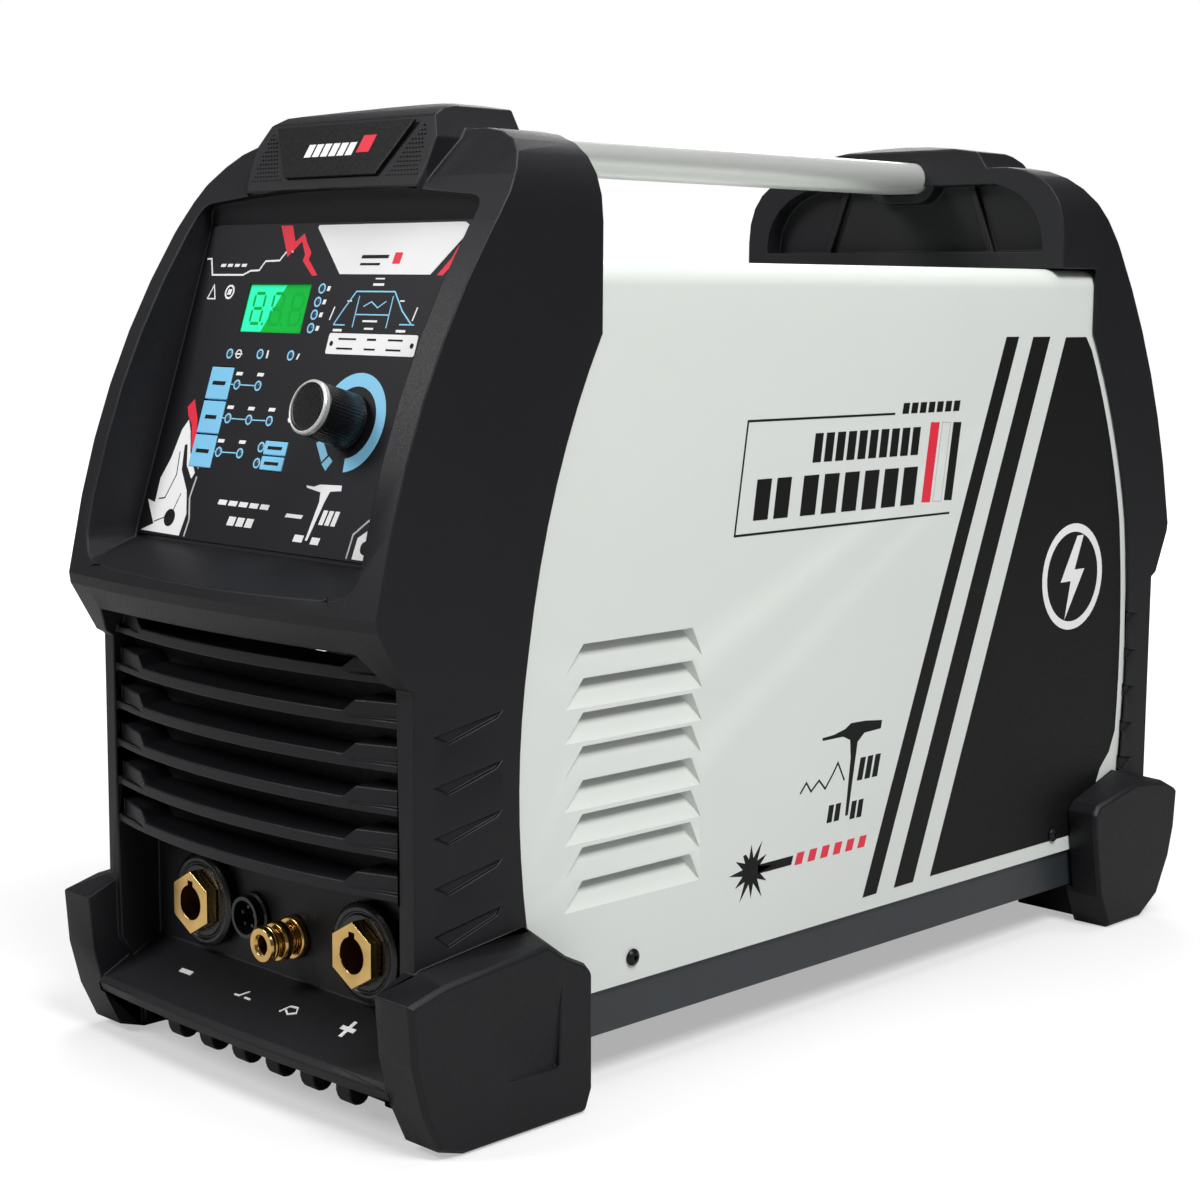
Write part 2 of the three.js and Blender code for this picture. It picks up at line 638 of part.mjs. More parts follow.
function addCover() {
  const outer = solid(alongY(archOutline(0), -300, 300));
  const inner = solid(alongY(archOutline(SHEET), -301, 301));
  let body = outer.subtract(inner).intersect(coverSide());
  for (const side of [1, -1]) {
    for (let i = 0; i < LOUVRE_COUNT; i += 1) {
      const top = LOUVRE_TOP - i * LOUVRE_PITCH;
      body = body.add(louvre(side, top, SHEET)).subtract(louvre(side, top, 0));
    }
  }
  for (const [side, y] of COVER_SCREWS) {
    const drill = new THREE.CylinderGeometry(2.3, 2.3, 6, 16).rotateZ(Math.PI / 2);
    body = body.subtract(solid(drill.translate(side * COVER_HALF, y, SCREW_Z)));
  }
  piece('cover', body, looks.cover);
}

function addCoverScrews() {
  COVER_SCREWS.forEach(([side, y], i) => {
    const profile = [[0, 2.2], [2, 1.9], [3.2, 0.9], [3.3, FIT], [2, FIT], [2, -7], [0, -7]];
    const screw = turned(profile.reverse(), 20).rotateY(side * Math.PI / 2);
    const socket = new THREE.CylinderGeometry(0.9, 0.9, 2.4, 6).rotateZ(Math.PI / 2);
    const body = solid(screw).subtract(solid(socket.translate(side * 2.2, 0, 0)));
    piece(`cover_screw_${i + 1}`, body, looks.zinc).position.set(side * COVER_HALF, y, SCREW_Z);
  });
}

// ---- base tray ----------------------------------------------------------------------------------
function addTray() {
  const [out, floor] = [TRAY_HALF, TRAY_Z + TRAY_THICK];
  const within = out - TRAY_THICK;
  const section = outline([[-out, TRAY_Z], [out, TRAY_Z], [out, TRAY_FLANGE], [within, TRAY_FLANGE],
    [within, floor], [-within, floor], [-within, TRAY_FLANGE], [-out, TRAY_FLANGE]]);
  let body = solid(alongY(section, -196, 203));
  for (const [side, y] of COVER_SCREWS) {
    const drill = new THREE.CylinderGeometry(2.3, 2.3, 6, 16).rotateZ(Math.PI / 2);
    body = body.subtract(solid(drill.translate(side * TRAY_HALF, y, SCREW_Z)));
  }
  for (let i = 0; i < TRAY_SLOTS; i += 1) {
    const y = -80 + i * 14;
    body = body.subtract(solid(box(-30, 30, y, y + 6, TRAY_Z - 1, floor + 1)));
  }
  piece('base_tray', body, looks.tray);
}

// ---- handle -------------------------------------------------------------------------------------
function addHandle() {
  const tube = solid(alongY(oval(HANDLE_WIDE, HANDLE_TALL, HANDLE_Z), -HANDLE_END, HANDLE_END));
  const inner = [HANDLE_WIDE - 2 * HANDLE_WALL, HANDLE_TALL - 2 * HANDLE_WALL];
  const bore = solid(alongY(oval(...inner, HANDLE_Z), -HANDLE_END - 1, HANDLE_END + 1));
  piece('handle_tube', tube.subtract(bore), looks.aluminium);
  for (const [name, parent] of [['front', machine], ['rear', rear]]) {
    const [wide, tall] = inner.map((size) => size - 2 * FIT);
    const plug = solid(alongY(oval(wide, tall, HANDLE_Z), -HANDLE_END + 0.5, -140));
    const drilled = plug.subtract(solid(barY(3.1, 0, -180, -130, HANDLE_Z)));
    piece(`handle_insert_${name}`, drilled, looks.aluminium, parent);
    const bolt = turnedForward([[0, 0], [2.7, 0], [2.7, 23.7], [5, 23.7], [5, 28], [2.5, 28],
      [2.5, 25], [0, 25]], 0, -147.3, HANDLE_Z, 20);
    piece(`handle_bolt_${name}`, bolt, looks.zinc, parent);
  }
}

function addBadge() {
  const plate = run(outline([[-26.2, 4.5], [26.2, 4.5], [39.5, 25], [-39.5, 25]]), 1.2).translate(0, 0, FIT);
  piece('badge_plate', plate, looks.gloss, crown);
}

// ---- control panel --------------------------------------------------------------------------------
const BOARD_W = -11.4;
const BOARD_THICK = 1.6;

function addOverlay() {
  const face = block(2 * PANEL_HALF, PANEL_TALL, 0, PANEL_TALL / 2);
  let sheet = solid(run(face, OVERLAY).translate(0, 0, -OVERLAY));
  for (const { u, v, wide, tall } of KEY_WINDOWS) {
    sheet = sheet.subtract(solid(run(block(wide, tall, u, v), 4).translate(0, 0, -2)));
  }
  const view = run(block(DISPLAY_WIDE, DISPLAY_TALL, DISPLAY_U, DISPLAY_V), 4).translate(0, 0, -2);
  const post = turned([[0, -2], [3.9, -2], [3.9, 2], [0, 2]]).translate(KNOB_U, KNOB_V, 0);
  sheet = sheet.subtract(solid(view)).subtract(solid(post));
  piece('control_overlay', sheet, looks.overlay, panel);
}

function addDisplay() {
  const glass = run(block(DISPLAY_WIDE + 0.9, DISPLAY_TALL + 0.9, DISPLAY_U, DISPLAY_V), 1.2);
  piece('display_window', glass.translate(0, 0, -OVERLAY - FIT - 1.2), looks.green, panel);
  const module = run(block(DISPLAY_WIDE, DISPLAY_TALL, DISPLAY_U, DISPLAY_V), 7);
  piece('display_module', module.translate(0, 0, BOARD_W + BOARD_THICK + FIT), looks.gloss, panel);
}

function addControlBoard() {
  let body = solid(run(block(146, 104, 0, 62), BOARD_THICK).translate(0, 0, BOARD_W));
  for (const { u, v } of keys) {
    const size = 4.6;
    const tact = run(block(size, size, u, v), 5.2).translate(0, 0, BOARD_W + 1);
    const stem = turned([[0, 0], [1.2, 0], [1.2, 7.2], [0, 7.2]], 10).translate(u, v, BOARD_W + 1);
    body = body.add(solid(tact)).add(solid(stem));
  }
  const link = run(block(30, 8, 20, 20), 9).translate(0, 0, BOARD_W - 8);
  piece('control_board', body.add(solid(link)), looks.board, panel);
}

function addEncoder() {
  const base = BOARD_W + BOARD_THICK + FIT;
  const can = solid(run(block(13, 13, KNOB_U, KNOB_V), 5.4).translate(0, 0, base));
  const bush = solid(turned([[0, 0], [3.6, 0], [3.6, 6.5], [0, 6.5]]).translate(KNOB_U, KNOB_V, -5));
  const well = turned([[0, 0.8], [5.3, 0.8], [5.3, 4.4], [3.2, 4.4], [3.2, 14], [0, 14]]);
  const body = can.add(bush).subtract(solid(well.translate(KNOB_U, KNOB_V, base)));
  piece('encoder_body', body, looks.steel, panel);
  const ring = turned([[3.15, 0], [5, 0], [5, 2.8], [3.15, 2.8], [3.15, 0]]);
  piece('encoder_rotor', ring.translate(KNOB_U, KNOB_V, base + 1.2), looks.steel, panel);
  const rod = solid(turned([[0, 0], [2.95, 0], [2.95, 22.4], [0, 22.4]]).translate(KNOB_U, KNOB_V, base + 2));
  const flat = run(block(6, 2, KNOB_U, KNOB_V + 3), 12).translate(0, 0, 4.5);
  piece('encoder_shaft', rod.subtract(solid(flat)), looks.steel, panel);
}

function addKnob() {
  const rim = 18;
  const skirt = solid(turned([[0, 1.4], [10.2, 1.4], [10.4, 2], [9.9, rim - 1], [9.9, rim], [0, rim]], 28));
  const bore = solid(turned([[0, 0], [3.25, 0], [3.25, 15.6], [0, 15.6]]));
  const under = solid(turned([[0, 0], [6, 0], [6, 3], [0, 3]]));
  const body = skirt.subtract(bore).subtract(under);
  piece('knob', body, looks.gloss, panel).position.set(KNOB_U, KNOB_V, 0);
  const ring = turned([[8.8, rim + FIT], [9.9, rim + FIT], [9.9, 20], [9.4, 20.6], [8.8, 20.6],
    [8.8, rim + FIT]], 28);
  piece('knob_ring', ring, looks.aluminium, panel).position.set(KNOB_U, KNOB_V, 0);
  const cap = turned([[0, rim + FIT], [8.5, rim + FIT], [8.5, 20], [7.9, 20.6], [0, 20.8]], 28);
  piece('knob_cap', cap, looks.gloss, panel).position.set(KNOB_U, KNOB_V, 0);
}

function addKeys() {
  for (const { name, u, v, wide, tall } of keys) {
    const cap = run(block(wide, tall), 2.9).translate(0, 0, -2.6);
    piece(name, cap, looks.blue, panel).position.set(u, v, 0);
  }
}

// ---- connectors -----------------------------------------------------------------------------------
function hexagon(across) {
  const corner = across / Math.sqrt(3);
  const points = Array.from({ length: 6 }, (_, i) => {
    const angle = (i + 0.5) * Math.PI / 3;
    return [corner * Math.cos(angle), corner * Math.sin(angle)];
  });
  return outline(points);
}

function addDinse(name, x) {
  const seat = kinds.front.wall - FIT;
  const flange = turnedForward([[9.7, -10], [12, -10], [12, 0], [17.3, 0], [18.3, 1.5], [18.3, 4], [16.5, 5],
    [9.7, 5], [9.7, -10]], x, seat, DINSE_Z, 24);
  piece(`dinse_insulator_${name}`, flange, looks.gloss);
  const hex = solid(alongY(hexagon(21.5), -222.3, seat - 5 - FIT).translate(x, 0, DINSE_Z));
  const body = solid(barY(9.35, x, -219, -186, DINSE_Z, 24));
  const bore = solid(barY(6.6, x, -230, -191, DINSE_Z, 24));
  const slot = solid(box(x - 1.6, x + 1.6, -230, -206, DINSE_Z, DINSE_Z + 8.4));
  const stud = solid(barY(5, x, -187, -172, DINSE_Z, 16));
  piece(`dinse_insert_${name}`, hex.add(body).add(stud).subtract(bore).subtract(slot), looks.brass);
}

function addGasOutlet() {
  const seat = kinds.front.wall - FIT;
  const nipple = turnedForward([[0, -16], [3.4, -16], [3.4, -10], [5.5, -10], [5.5, 3.6],
    [4.8, 3.6], [4.8, 6], [7, 6], [7.6, 7], [7.6, 9], [7, 10], [4.9, 10], [4.9, 12], [6.6, 12.4],
    [6.9, 13], [6.9, 15], [6.3, 16.2], [4, 16.2], [3.2, 15], [3.2, -8], [0, -8]],
  GAS_X, seat, GAS_Z, 20);
  piece('gas_outlet', nipple, looks.brass);
  const collar = turnedForward([[5.8, 0], [7.6, 0], [8.2, 0.6], [8.2, 2.4], [7.6, 3], [5.8, 3], [5.8, 0]],
    GAS_X, seat, GAS_Z, 20);
  piece('gas_outlet_collar', collar, looks.brass);
}

function addTorchSocket() {
  const seat = kinds.front.wall - FIT;
  const shell = turnedForward([[0, -12], [7, -12], [7, 0], [9, 0], [9, 1.5], [8, 2], [8, 5.5], [6.6, 5.5],
    [6.6, -2], [0, -2]], TORCH_X, seat, TORCH_Z, 24);
  const pins = Array.from({ length: 5 }, (_, i) => {
    const angle = Math.PI / 2 + i * Math.PI * 0.4;
    const [x, z] = [TORCH_X + 3.8 * Math.cos(angle), TORCH_Z + 3.8 * Math.sin(angle)];
    return solid(barY(0.7, x, seat - 3.5, seat + 4, z, 8));
  });
  piece('torch_socket', solid(shell).add(total(...pins)), looks.gloss);
  const nut = solid(alongY(hexagon(19), -208.7, -205.5).translate(TORCH_X, 0, TORCH_Z));
  piece('torch_socket_nut', nut.subtract(solid(barY(7.3, TORCH_X, -210, -200, TORCH_Z))), looks.steel);
}

// ---- rear hardware ----------------------------------------------------------------------------------
const ROCKER_PIVOT_W = -1;

function addSwitch() {
  const frame = solid(run(block(25, 31, SWITCH_U, SWITCH_V), 1.8).translate(0, 0, -OVERLAY));
  const core = solid(run(block(21.8, 27.8, SWITCH_U, SWITCH_V), 17).translate(0, 0, -16.5));
  const well = solid(run(block(19, 24.6, SWITCH_U, SWITCH_V), 12).translate(0, 0, -9.5));
  const tab = (u) => solid(run(block(0.8, 6, SWITCH_U + u, SWITCH_V), 9).translate(0, 0, -25));
  const body = frame.add(core).subtract(well).add(tab(-5)).add(tab(5));
  piece('mains_switch_body', body, looks.gloss, rearPanel);
  const shape = outline([[-10.6, 5.6], [0, 2.6], [10.6, 1], [11, -4], [5, -5.5], [-5, -5.5], [-11, -4]]);
  const rocker = run(shape, 18.2).applyMatrix4(TO_X).translate(-9.1, 0, 0);
  const tilting = piece('mains_switch_rocker', rocker, looks.gloss, rearPanel);
  tilting.position.set(SWITCH_U, SWITCH_V, ROCKER_PIVOT_W);
}

function addGland() {
  const seat = kinds.rear.wall - FIT;
  const body = turnedForward([[5, -14], [9, -14], [9, 0], [13, 0], [13, 5], [9.2, 5], [9.2, 12],
    [5, 12], [5, -14]], GLAND_X, seat, GLAND_Z, 28);
  piece('cable_gland', body, looks.plastic, rear);
  const nut = turnedForward([[9.8, 5.4], [12.5, 5.4], [12.5, 13], [9, 17.5], [5.2, 17.5],
    [5.2, 12.4], [9.8, 12.4], [9.8, 5.4]], GLAND_X, seat, GLAND_Z, 12);
  piece('cable_gland_nut', nut, looks.plastic, rear);
}

function addGasInlet() {
  const seat = kinds.rear.wall - FIT;
  const barbs = [8, 11.5, 15].flatMap((h) => [[3.2, h], [4.3, h + 0.2], [3.2, h + 3.3]]);
  const profile = [[0, -16], [3.4, -16], [3.4, -10], [5, -10], [5, 0], [7.5, 0], [7.5, 5], [3.2, 5], ...barbs,
    [3.2, 20], [1.8, 20], [1.8, -13], [0, -13]];
  piece('gas_inlet', turnedForward(profile, INLET_X, seat, GLAND_Z, 16), looks.brass, rear);
}

function addFan() {
  const [near, far] = [-216, -191];
  const square = solid(alongY(block(FAN_SIZE, FAN_SIZE, 0, FAN_Z), near, far));
  const tunnel = solid(barY(FAN_SIZE / 2 - 2, 0, near - 1, far + 1, FAN_Z, 32));
  const corner = FAN_SIZE / 2 - 5;
  const reach = FAN_SIZE / 2 - 1;
  const pads = [-1, 1].flatMap((a) => [-1, 1].map((b) => solid(
    barY(2.2, a * corner, near - 1, far + 1, FAN_Z + b * corner, 8))));
  const motor = solid(barY(16, 0, far - 5, far, FAN_Z, 24));
  const arms = [0, 1].map((i) => solid(box(-reach, reach, far - 4, far, -2.5, 2.5)
    .rotateY(Math.PI / 4 + i * Math.PI / 2).translate(0, 0, FAN_Z)));
  const frame = square.subtract(tunnel).subtract(total(...pads)).add(motor).add(total(...arms));
  piece('fan_frame', frame, looks.gloss, rear);
  const hub = solid(new THREE.CylinderGeometry(17, 17, 17, 24));
  const blades = Array.from({ length: 7 }, (_, i) => {
    const blade = box(-13, 13, -0.8, 0.8, 16, FAN_SIZE / 2 - 5).rotateZ(THREE.MathUtils.degToRad(32));
    return solid(blade.rotateY((i / 7) * Math.PI * 2));
  });
  piece('fan_rotor', hub.add(total(...blades)), looks.gloss, rear).position.set(0, near + 9.5, FAN_Z);
}

// ---- inside ---------------------------------------------------------------------------------------
const FLOOR = TRAY_Z + TRAY_THICK + FIT;
const DECK = 150;

function addHeatsink(name, side) {
  const [root, web, tip] = [6, 13, 68];
  const count = 9;
  const pitch = (DECK - FLOOR - 6) / count;
  const points = [[root, FLOOR]];
  for (let i = 0; i < count; i += 1) {
    const z = FLOOR + i * pitch;
    points.push([tip, z], [tip, z + 3], [web, z + 3], [web, z + pitch]);
  }
  points.push([tip, DECK - 6], [tip, DECK], [root, DECK]);
  const shape = outline(points.map(([x, z]) => [x * side, z]));
  piece(name, alongY(shape, -55, 110), looks.aluminium);
}

function addPowerParts() {
  const top = DECK + FIT + BOARD_THICK + FIT;
  piece('main_board', box(-78, 78, -75, 150, DECK + FIT, DECK + FIT + BOARD_THICK), looks.board);
  [[-52, -45], [-52, -5], [-52, 35]].forEach(([x, y], i) => {
    const can = turned([[0, 0], [17.5, 0], [17.5, 46], [16, 48], [0, 48]], 24);
    piece(`capacitor_${i + 1}`, can.translate(x, y, top), looks.gloss);
  });
  const leg = solid(box(-30, 30, 70, 125, top, top + 60));
  const windows = [-13, 13].map((x) => solid(box(x - 6.5, x + 6.5, 60, 135, top + 10, top + 50)));
  piece('transformer_core', leg.subtract(total(...windows)), looks.ferrite);
  const coil = solid(box(-18.5, 18.5, 60, 135, top + 11, top + 49));
  const hole = solid(box(-6.8, 6.8, 69.7, 125.3, top, top + 60));
  piece('transformer_winding', coil.subtract(hole), looks.copper);
  const toroid = turned([[13, -16], [29, -16], [30, -14], [30, 14], [29, 16], [13, 16], [13, -16]], 28);
  piece('output_choke', toroid.rotateX(Math.PI / 2).translate(-40, -105, FLOOR + 30), looks.copper);
  const hfRing = turned([[9, -14], [21, -14], [22, -12], [22, 12], [21, 14], [9, 14], [9, -14]], 28);
  piece('hf_coil', hfRing.rotateX(Math.PI / 2).translate(DINSE_X, -120, DINSE_Z), looks.ferrite);
}

function addBusbar(name, x, endY) {
  const lug = solid(box(x - 11, x + 11, -182, -179, DINSE_Z - 12, DINSE_Z + 12));
  const bar = solid(box(x - 1.5, x + 1.5, -181, endY, DINSE_Z - 9, DINSE_Z + 4));
  const hole = solid(barY(5.4, x, -190, -176, DINSE_Z, 16));
  const slot = solid(barY(5.4, x, -190, -171.5, DINSE_Z, 16));
  piece(name, lug.add(bar).subtract(hole).subtract(slot), looks.copper);
}

function addGasLine() {
  const seatY = 152;
  const inletX = -INLET_X;
  const valve = solid(box(inletX - 13, inletX + 13, seatY, seatY + 34, FLOOR, FLOOR + 22));
  const port = solid(barY(4, inletX, seatY - 12, seatY + 1, FLOOR + 11, 16));
  const rise = solid(barY(4, inletX, seatY + 33, seatY + 42, FLOOR + 11, 16));
  piece('solenoid_valve', valve.add(port).add(rise), looks.brass);
  const coil = box(inletX - 12, inletX + 12, seatY + 4, seatY + 30, FLOOR + 22 + FIT, FLOOR + 52);
  piece('solenoid_coil', coil, looks.rubber);
  const stops = [[inletX, 139.2, FLOOR + 11], [inletX - 0.4, 134, FLOOR + 11],
    [-44, 128, FLOOR + 11], [-60, 119, FLOOR + 10], [-75, 108, FLOOR + 10], [-78.5, 70, 28],
    [-79, -60, 26], [-79, -130, 28], [-50, -165, 30], [-10, -180, 40], [GAS_X, -190, GAS_Z - 2],
    [GAS_X, -195, GAS_Z]];
  const route = new THREE.CatmullRomCurve3(stops.map((stop) => new THREE.Vector3(...stop)));
  const ring = new THREE.Shape().absarc(0, 0, 4, 0, Math.PI * 2);
  const options = { steps: 26, curveSegments: 4, extrudePath: route, bevelEnabled: false };
  const hose = new THREE.ExtrudeGeometry(ring, options);
  piece('gas_hose', hose, looks.rubber);
}

// ---- assembly ---------------------------------------------------------------------------------------
addFrontBezel();
addDustFilter();
addRearBezel();
addCover();
addCoverScrews();
addTray();
addHandle();
addBadge();
addOverlay();
addDisplay();
addControlBoard();
addEncoder();
addKnob();
addKeys();
addDinse('negative', -DINSE_X);
addDinse('positive', DINSE_X);
addGasOutlet();
addTorchSocket();
addSwitch();
addGland();
addGasInlet();
addFan();
addHeatsink('heatsink_primary', -1);
addHeatsink('heatsink_secondary', 1);
addPowerParts();
addBusbar('busbar_negative', -DINSE_X, -125);
addBusbar('busbar_positive', DINSE_X, -140);
addGasLine();

export default machine;
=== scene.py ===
"""The looks of a TIG welding machine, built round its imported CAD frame. Metres, +Z up."""
import json
import math

import bmesh
import bpy
from mathutils import Matrix, Vector

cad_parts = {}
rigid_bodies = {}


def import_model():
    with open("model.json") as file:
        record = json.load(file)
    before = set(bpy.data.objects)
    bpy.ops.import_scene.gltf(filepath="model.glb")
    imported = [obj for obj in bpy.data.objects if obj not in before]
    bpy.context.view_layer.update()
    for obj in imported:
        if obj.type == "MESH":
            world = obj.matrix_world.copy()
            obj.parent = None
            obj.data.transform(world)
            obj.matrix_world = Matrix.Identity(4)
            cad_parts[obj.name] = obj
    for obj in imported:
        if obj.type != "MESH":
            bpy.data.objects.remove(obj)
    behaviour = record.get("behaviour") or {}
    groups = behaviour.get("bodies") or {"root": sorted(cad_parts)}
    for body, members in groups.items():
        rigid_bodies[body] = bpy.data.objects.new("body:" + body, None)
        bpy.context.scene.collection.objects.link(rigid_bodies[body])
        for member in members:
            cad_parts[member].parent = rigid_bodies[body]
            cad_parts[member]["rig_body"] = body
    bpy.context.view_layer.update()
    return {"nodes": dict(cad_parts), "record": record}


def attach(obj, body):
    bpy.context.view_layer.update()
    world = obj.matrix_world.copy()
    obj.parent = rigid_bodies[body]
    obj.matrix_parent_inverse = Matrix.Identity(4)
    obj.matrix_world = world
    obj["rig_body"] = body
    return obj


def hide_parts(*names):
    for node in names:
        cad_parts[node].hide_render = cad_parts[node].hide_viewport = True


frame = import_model()
scene = bpy.context.scene
nodes = frame["nodes"]
MM = 0.001


# ---- camera --------------------------------------------------------------------------------------
def add_camera():
    yaw, pitch, roll = (math.radians(a) for a in (44.62, -7.75, 0.41))
    forward = Vector((-math.sin(yaw) * math.cos(pitch), math.cos(yaw) * math.cos(pitch), math.sin(pitch)))
    level = Vector((math.cos(yaw), math.sin(yaw), 0))
    above = level.cross(forward)
    right = level * math.cos(roll) + above * math.sin(roll)
    up = above * math.cos(roll) - level * math.sin(roll)
    turn = Matrix((right, up, -forward)).transposed().to_4x4()
    data = bpy.data.cameras.new("camera")
    data.sensor_width = 36
    data.lens = 68.01
    camera = bpy.data.objects.new("camera", data)
    scene.collection.objects.link(camera)
    camera.matrix_world = Matrix.Translation((0.6580, -0.7154, 0.2928)) @ turn
    scene.camera = camera


# ---- materials -----------------------------------------------------------------------------------
def noise(tree, source, scale, detail=3.0, stretch=None):
    if stretch:
        mapping = tree.nodes.new("ShaderNodeMapping")
        mapping.inputs["Scale"].default_value = stretch
        tree.links.new(source, mapping.inputs["Vector"])
        source = mapping.outputs["Vector"]
    node = tree.nodes.new("ShaderNodeTexNoise")
    node.inputs["Scale"].default_value = scale
    node.inputs["Detail"].default_value = detail
    tree.links.new(source, node.inputs["Vector"])
    return node.outputs["Fac"]


def blend_colors(tree, factor, a, b):
    node = tree.nodes.new("ShaderNodeMix")
    node.data_type = "RGBA"
    for socket, value in ((node.inputs[6], a), (node.inputs[7], b)):
        if isinstance(value, bpy.types.NodeSocket):
            tree.links.new(value, socket)
        else:
            socket.default_value = (*value, 1)
    tree.links.new(factor, node.inputs[0])
    return node.outputs[2]


def remap(tree, value, low, high, out_low, out_high):
    node = tree.nodes.new("ShaderNodeMapRange")
    for name, number in (("From Min", low), ("From Max", high), ("To Min", out_low), ("To Max", out_high)):
        node.inputs[name].default_value = number
    tree.links.new(value, node.inputs["Value"])
    return node.outputs["Result"]


def material(name, color, rough, metal=0.0, coat=0.0, grain=900, depth=0.05, tone=0.1, blotch=30,
             edge_highlight=0.0, stretch=None, glow=0.0, gloss=0.5):
    """A procedural surface: broad tone changes, fine grain in the bump and gloss, and a painted highlight
    on sharp edges.
    """
    made = bpy.data.materials.new(name)
    made.use_nodes = True
    tree = made.node_tree
    surface = tree.nodes["Principled BSDF"]
    surface.inputs["Metallic"].default_value = metal
    surface.inputs["Specular IOR Level"].default_value = gloss
    surface.inputs["Coat Weight"].default_value = coat
    surface.inputs["Coat Roughness"].default_value = 0.15
    place = tree.nodes.new("ShaderNodeTexCoord").outputs["Object"]
    broad = noise(tree, place, blotch, 4, stretch)
    base = blend_colors(tree, remap(tree, broad, 0.3, 0.7, 0, 1),
                        [c * (1 - tone) for c in color], [min(1, c * (1 + tone)) for c in color])
    # painted highlight: sharp edges, found by pointiness, are lightened as if light caught them
    if edge_highlight:
        edge = tree.nodes.new("ShaderNodeNewGeometry").outputs["Pointiness"]
        pale = [min(1, c * 2.4 + 0.02) for c in color]
        base = blend_colors(tree, remap(tree, edge, 0.54, 0.66, 0, edge_highlight), base, pale)
    tree.links.new(base, surface.inputs["Base Color"])
    fine = noise(tree, place, grain, 5, stretch)
    tree.links.new(remap(tree, fine, 0.25, 0.75, rough * 0.85, min(1, rough * 1.18)),
                   surface.inputs["Roughness"])
    bump = tree.nodes.new("ShaderNodeBump")
    bump.inputs["Strength"].default_value = 0.6
    bump.inputs["Distance"].default_value = depth * MM
    tree.links.new(fine, bump.inputs["Height"])
    tree.links.new(bump.outputs["Normal"], surface.inputs["Normal"])
    # painted light: emission, used only on the display and its sheen, which are no lit lamps
    if glow:
        tree.links.new(base, surface.inputs["Emission Color"])
        surface.inputs["Emission Strength"].default_value = glow
    return made


LOOKS = {
    "moulded_plastic": material("moulded_plastic", (0.0050, 0.0051, 0.0068), 0.5, grain=1500, depth=0.07,
                                tone=0.1, edge_highlight=0.3, gloss=0.3),
    "gloss_black": material("gloss_black", (0.006, 0.006, 0.007), 0.28, grain=900, depth=0.006, gloss=0.4),
    "cover_paint": material("cover_paint", (0.665, 0.695, 0.665), 0.42, grain=420, depth=0.03, tone=0.015,
                            blotch=9),
    "tray_paint": material("tray_paint", (0.022, 0.026, 0.030), 0.38, grain=500, depth=0.03, edge_highlight=0.3),
    "black_zinc": material("black_zinc", (0.010, 0.010, 0.012), 0.32, metal=0.6, grain=1200, depth=0.02,
                           edge_highlight=0.6),
    "bright_steel": material("bright_steel", (0.5, 0.51, 0.52), 0.3, metal=1, grain=900, depth=0.02),
    "aluminium": material("aluminium", (0.60, 0.61, 0.59), 0.34, metal=0.45, grain=900, depth=0.02,
                          tone=0.06, stretch=(1, 0.02, 1)),
    "brass": material("brass", (0.66, 0.42, 0.15), 0.2, metal=1, grain=700, depth=0.015, tone=0.14,
                      blotch=120, edge_highlight=0.3),
    "copper": material("copper", (0.5, 0.2, 0.08), 0.35, metal=1, grain=800, depth=0.03),
    "overlay_film": material("overlay_film", (0.0070, 0.0070, 0.0095), 0.4, grain=2400, depth=0.02,
                             tone=0.05, gloss=0.3),
    # painted light: the emission makes the unlit display window glow
    "display_green": material("display_green", (0.004, 0.40, 0.04), 0.12, coat=0.4, grain=300, depth=0.004,
                              tone=0.05, glow=0.2),
    "key_blue": material("key_blue", (0.20, 0.53, 0.78), 0.35, grain=1800, depth=0.02, tone=0.04),
    "board_green": material("board_green", (0.012, 0.10, 0.035), 0.4, grain=600, depth=0.05),
    "ferrite": material("ferrite", (0.025, 0.025, 0.028), 0.75, grain=900, depth=0.06),
    "rubber_black": material("rubber_black", (0.010, 0.010, 0.011), 0.8, grain=700, depth=0.1),
}
PRINT = {
    "white": material("print_white", (0.80, 0.80, 0.80), 0.4, grain=1500, depth=0.01, tone=0.03),
    "grey": material("print_grey", (0.45, 0.45, 0.47), 0.4, grain=1500, depth=0.01, tone=0.05),
    "blue": material("print_blue", (0.24, 0.58, 0.82), 0.38, grain=1500, depth=0.01, tone=0.03),
    "red": material("print_red", (0.72, 0.018, 0.045), 0.38, grain=1500, depth=0.01, tone=0.05),
    "black": material("print_black", (0.0045, 0.0045, 0.005), 0.5, grain=700, depth=0.015, tone=0.08,
                      gloss=0.2),
    # painted reflection: the slanting sheen across the display, as a glowing pale green patch
    "display_sheen": material("painted_display_sheen", (0.03, 0.80, 0.42), 0.12, grain=300, depth=0.004, tone=0.04,
                           glow=0.25),
    # painted light: the emission makes the unlit digit outlines glow
    "dim_green": material("print_dim_green", (0.004, 0.35, 0.04), 0.15, grain=300, depth=0.004, tone=0.04,
                          glow=0.18),
    "lens": material("lens", (0.03, 0.05, 0.07), 0.12, coat=0.5, grain=900, depth=0.004),
}


# ---- mesh helpers --------------------------------------------------------------------------------
def finish_piece(obj, look, body, smooth=None):
    obj.data.materials.clear()
    obj.data.materials.append(look)
    if smooth is not None:
        obj.data.shade_smooth()
        obj.data.set_sharp_from_angle(angle=math.radians(smooth))
    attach(obj, body)
    return obj


def add_object(name, mesh):
    obj = bpy.data.objects.new(name, mesh)
    scene.collection.objects.link(obj)
    return obj


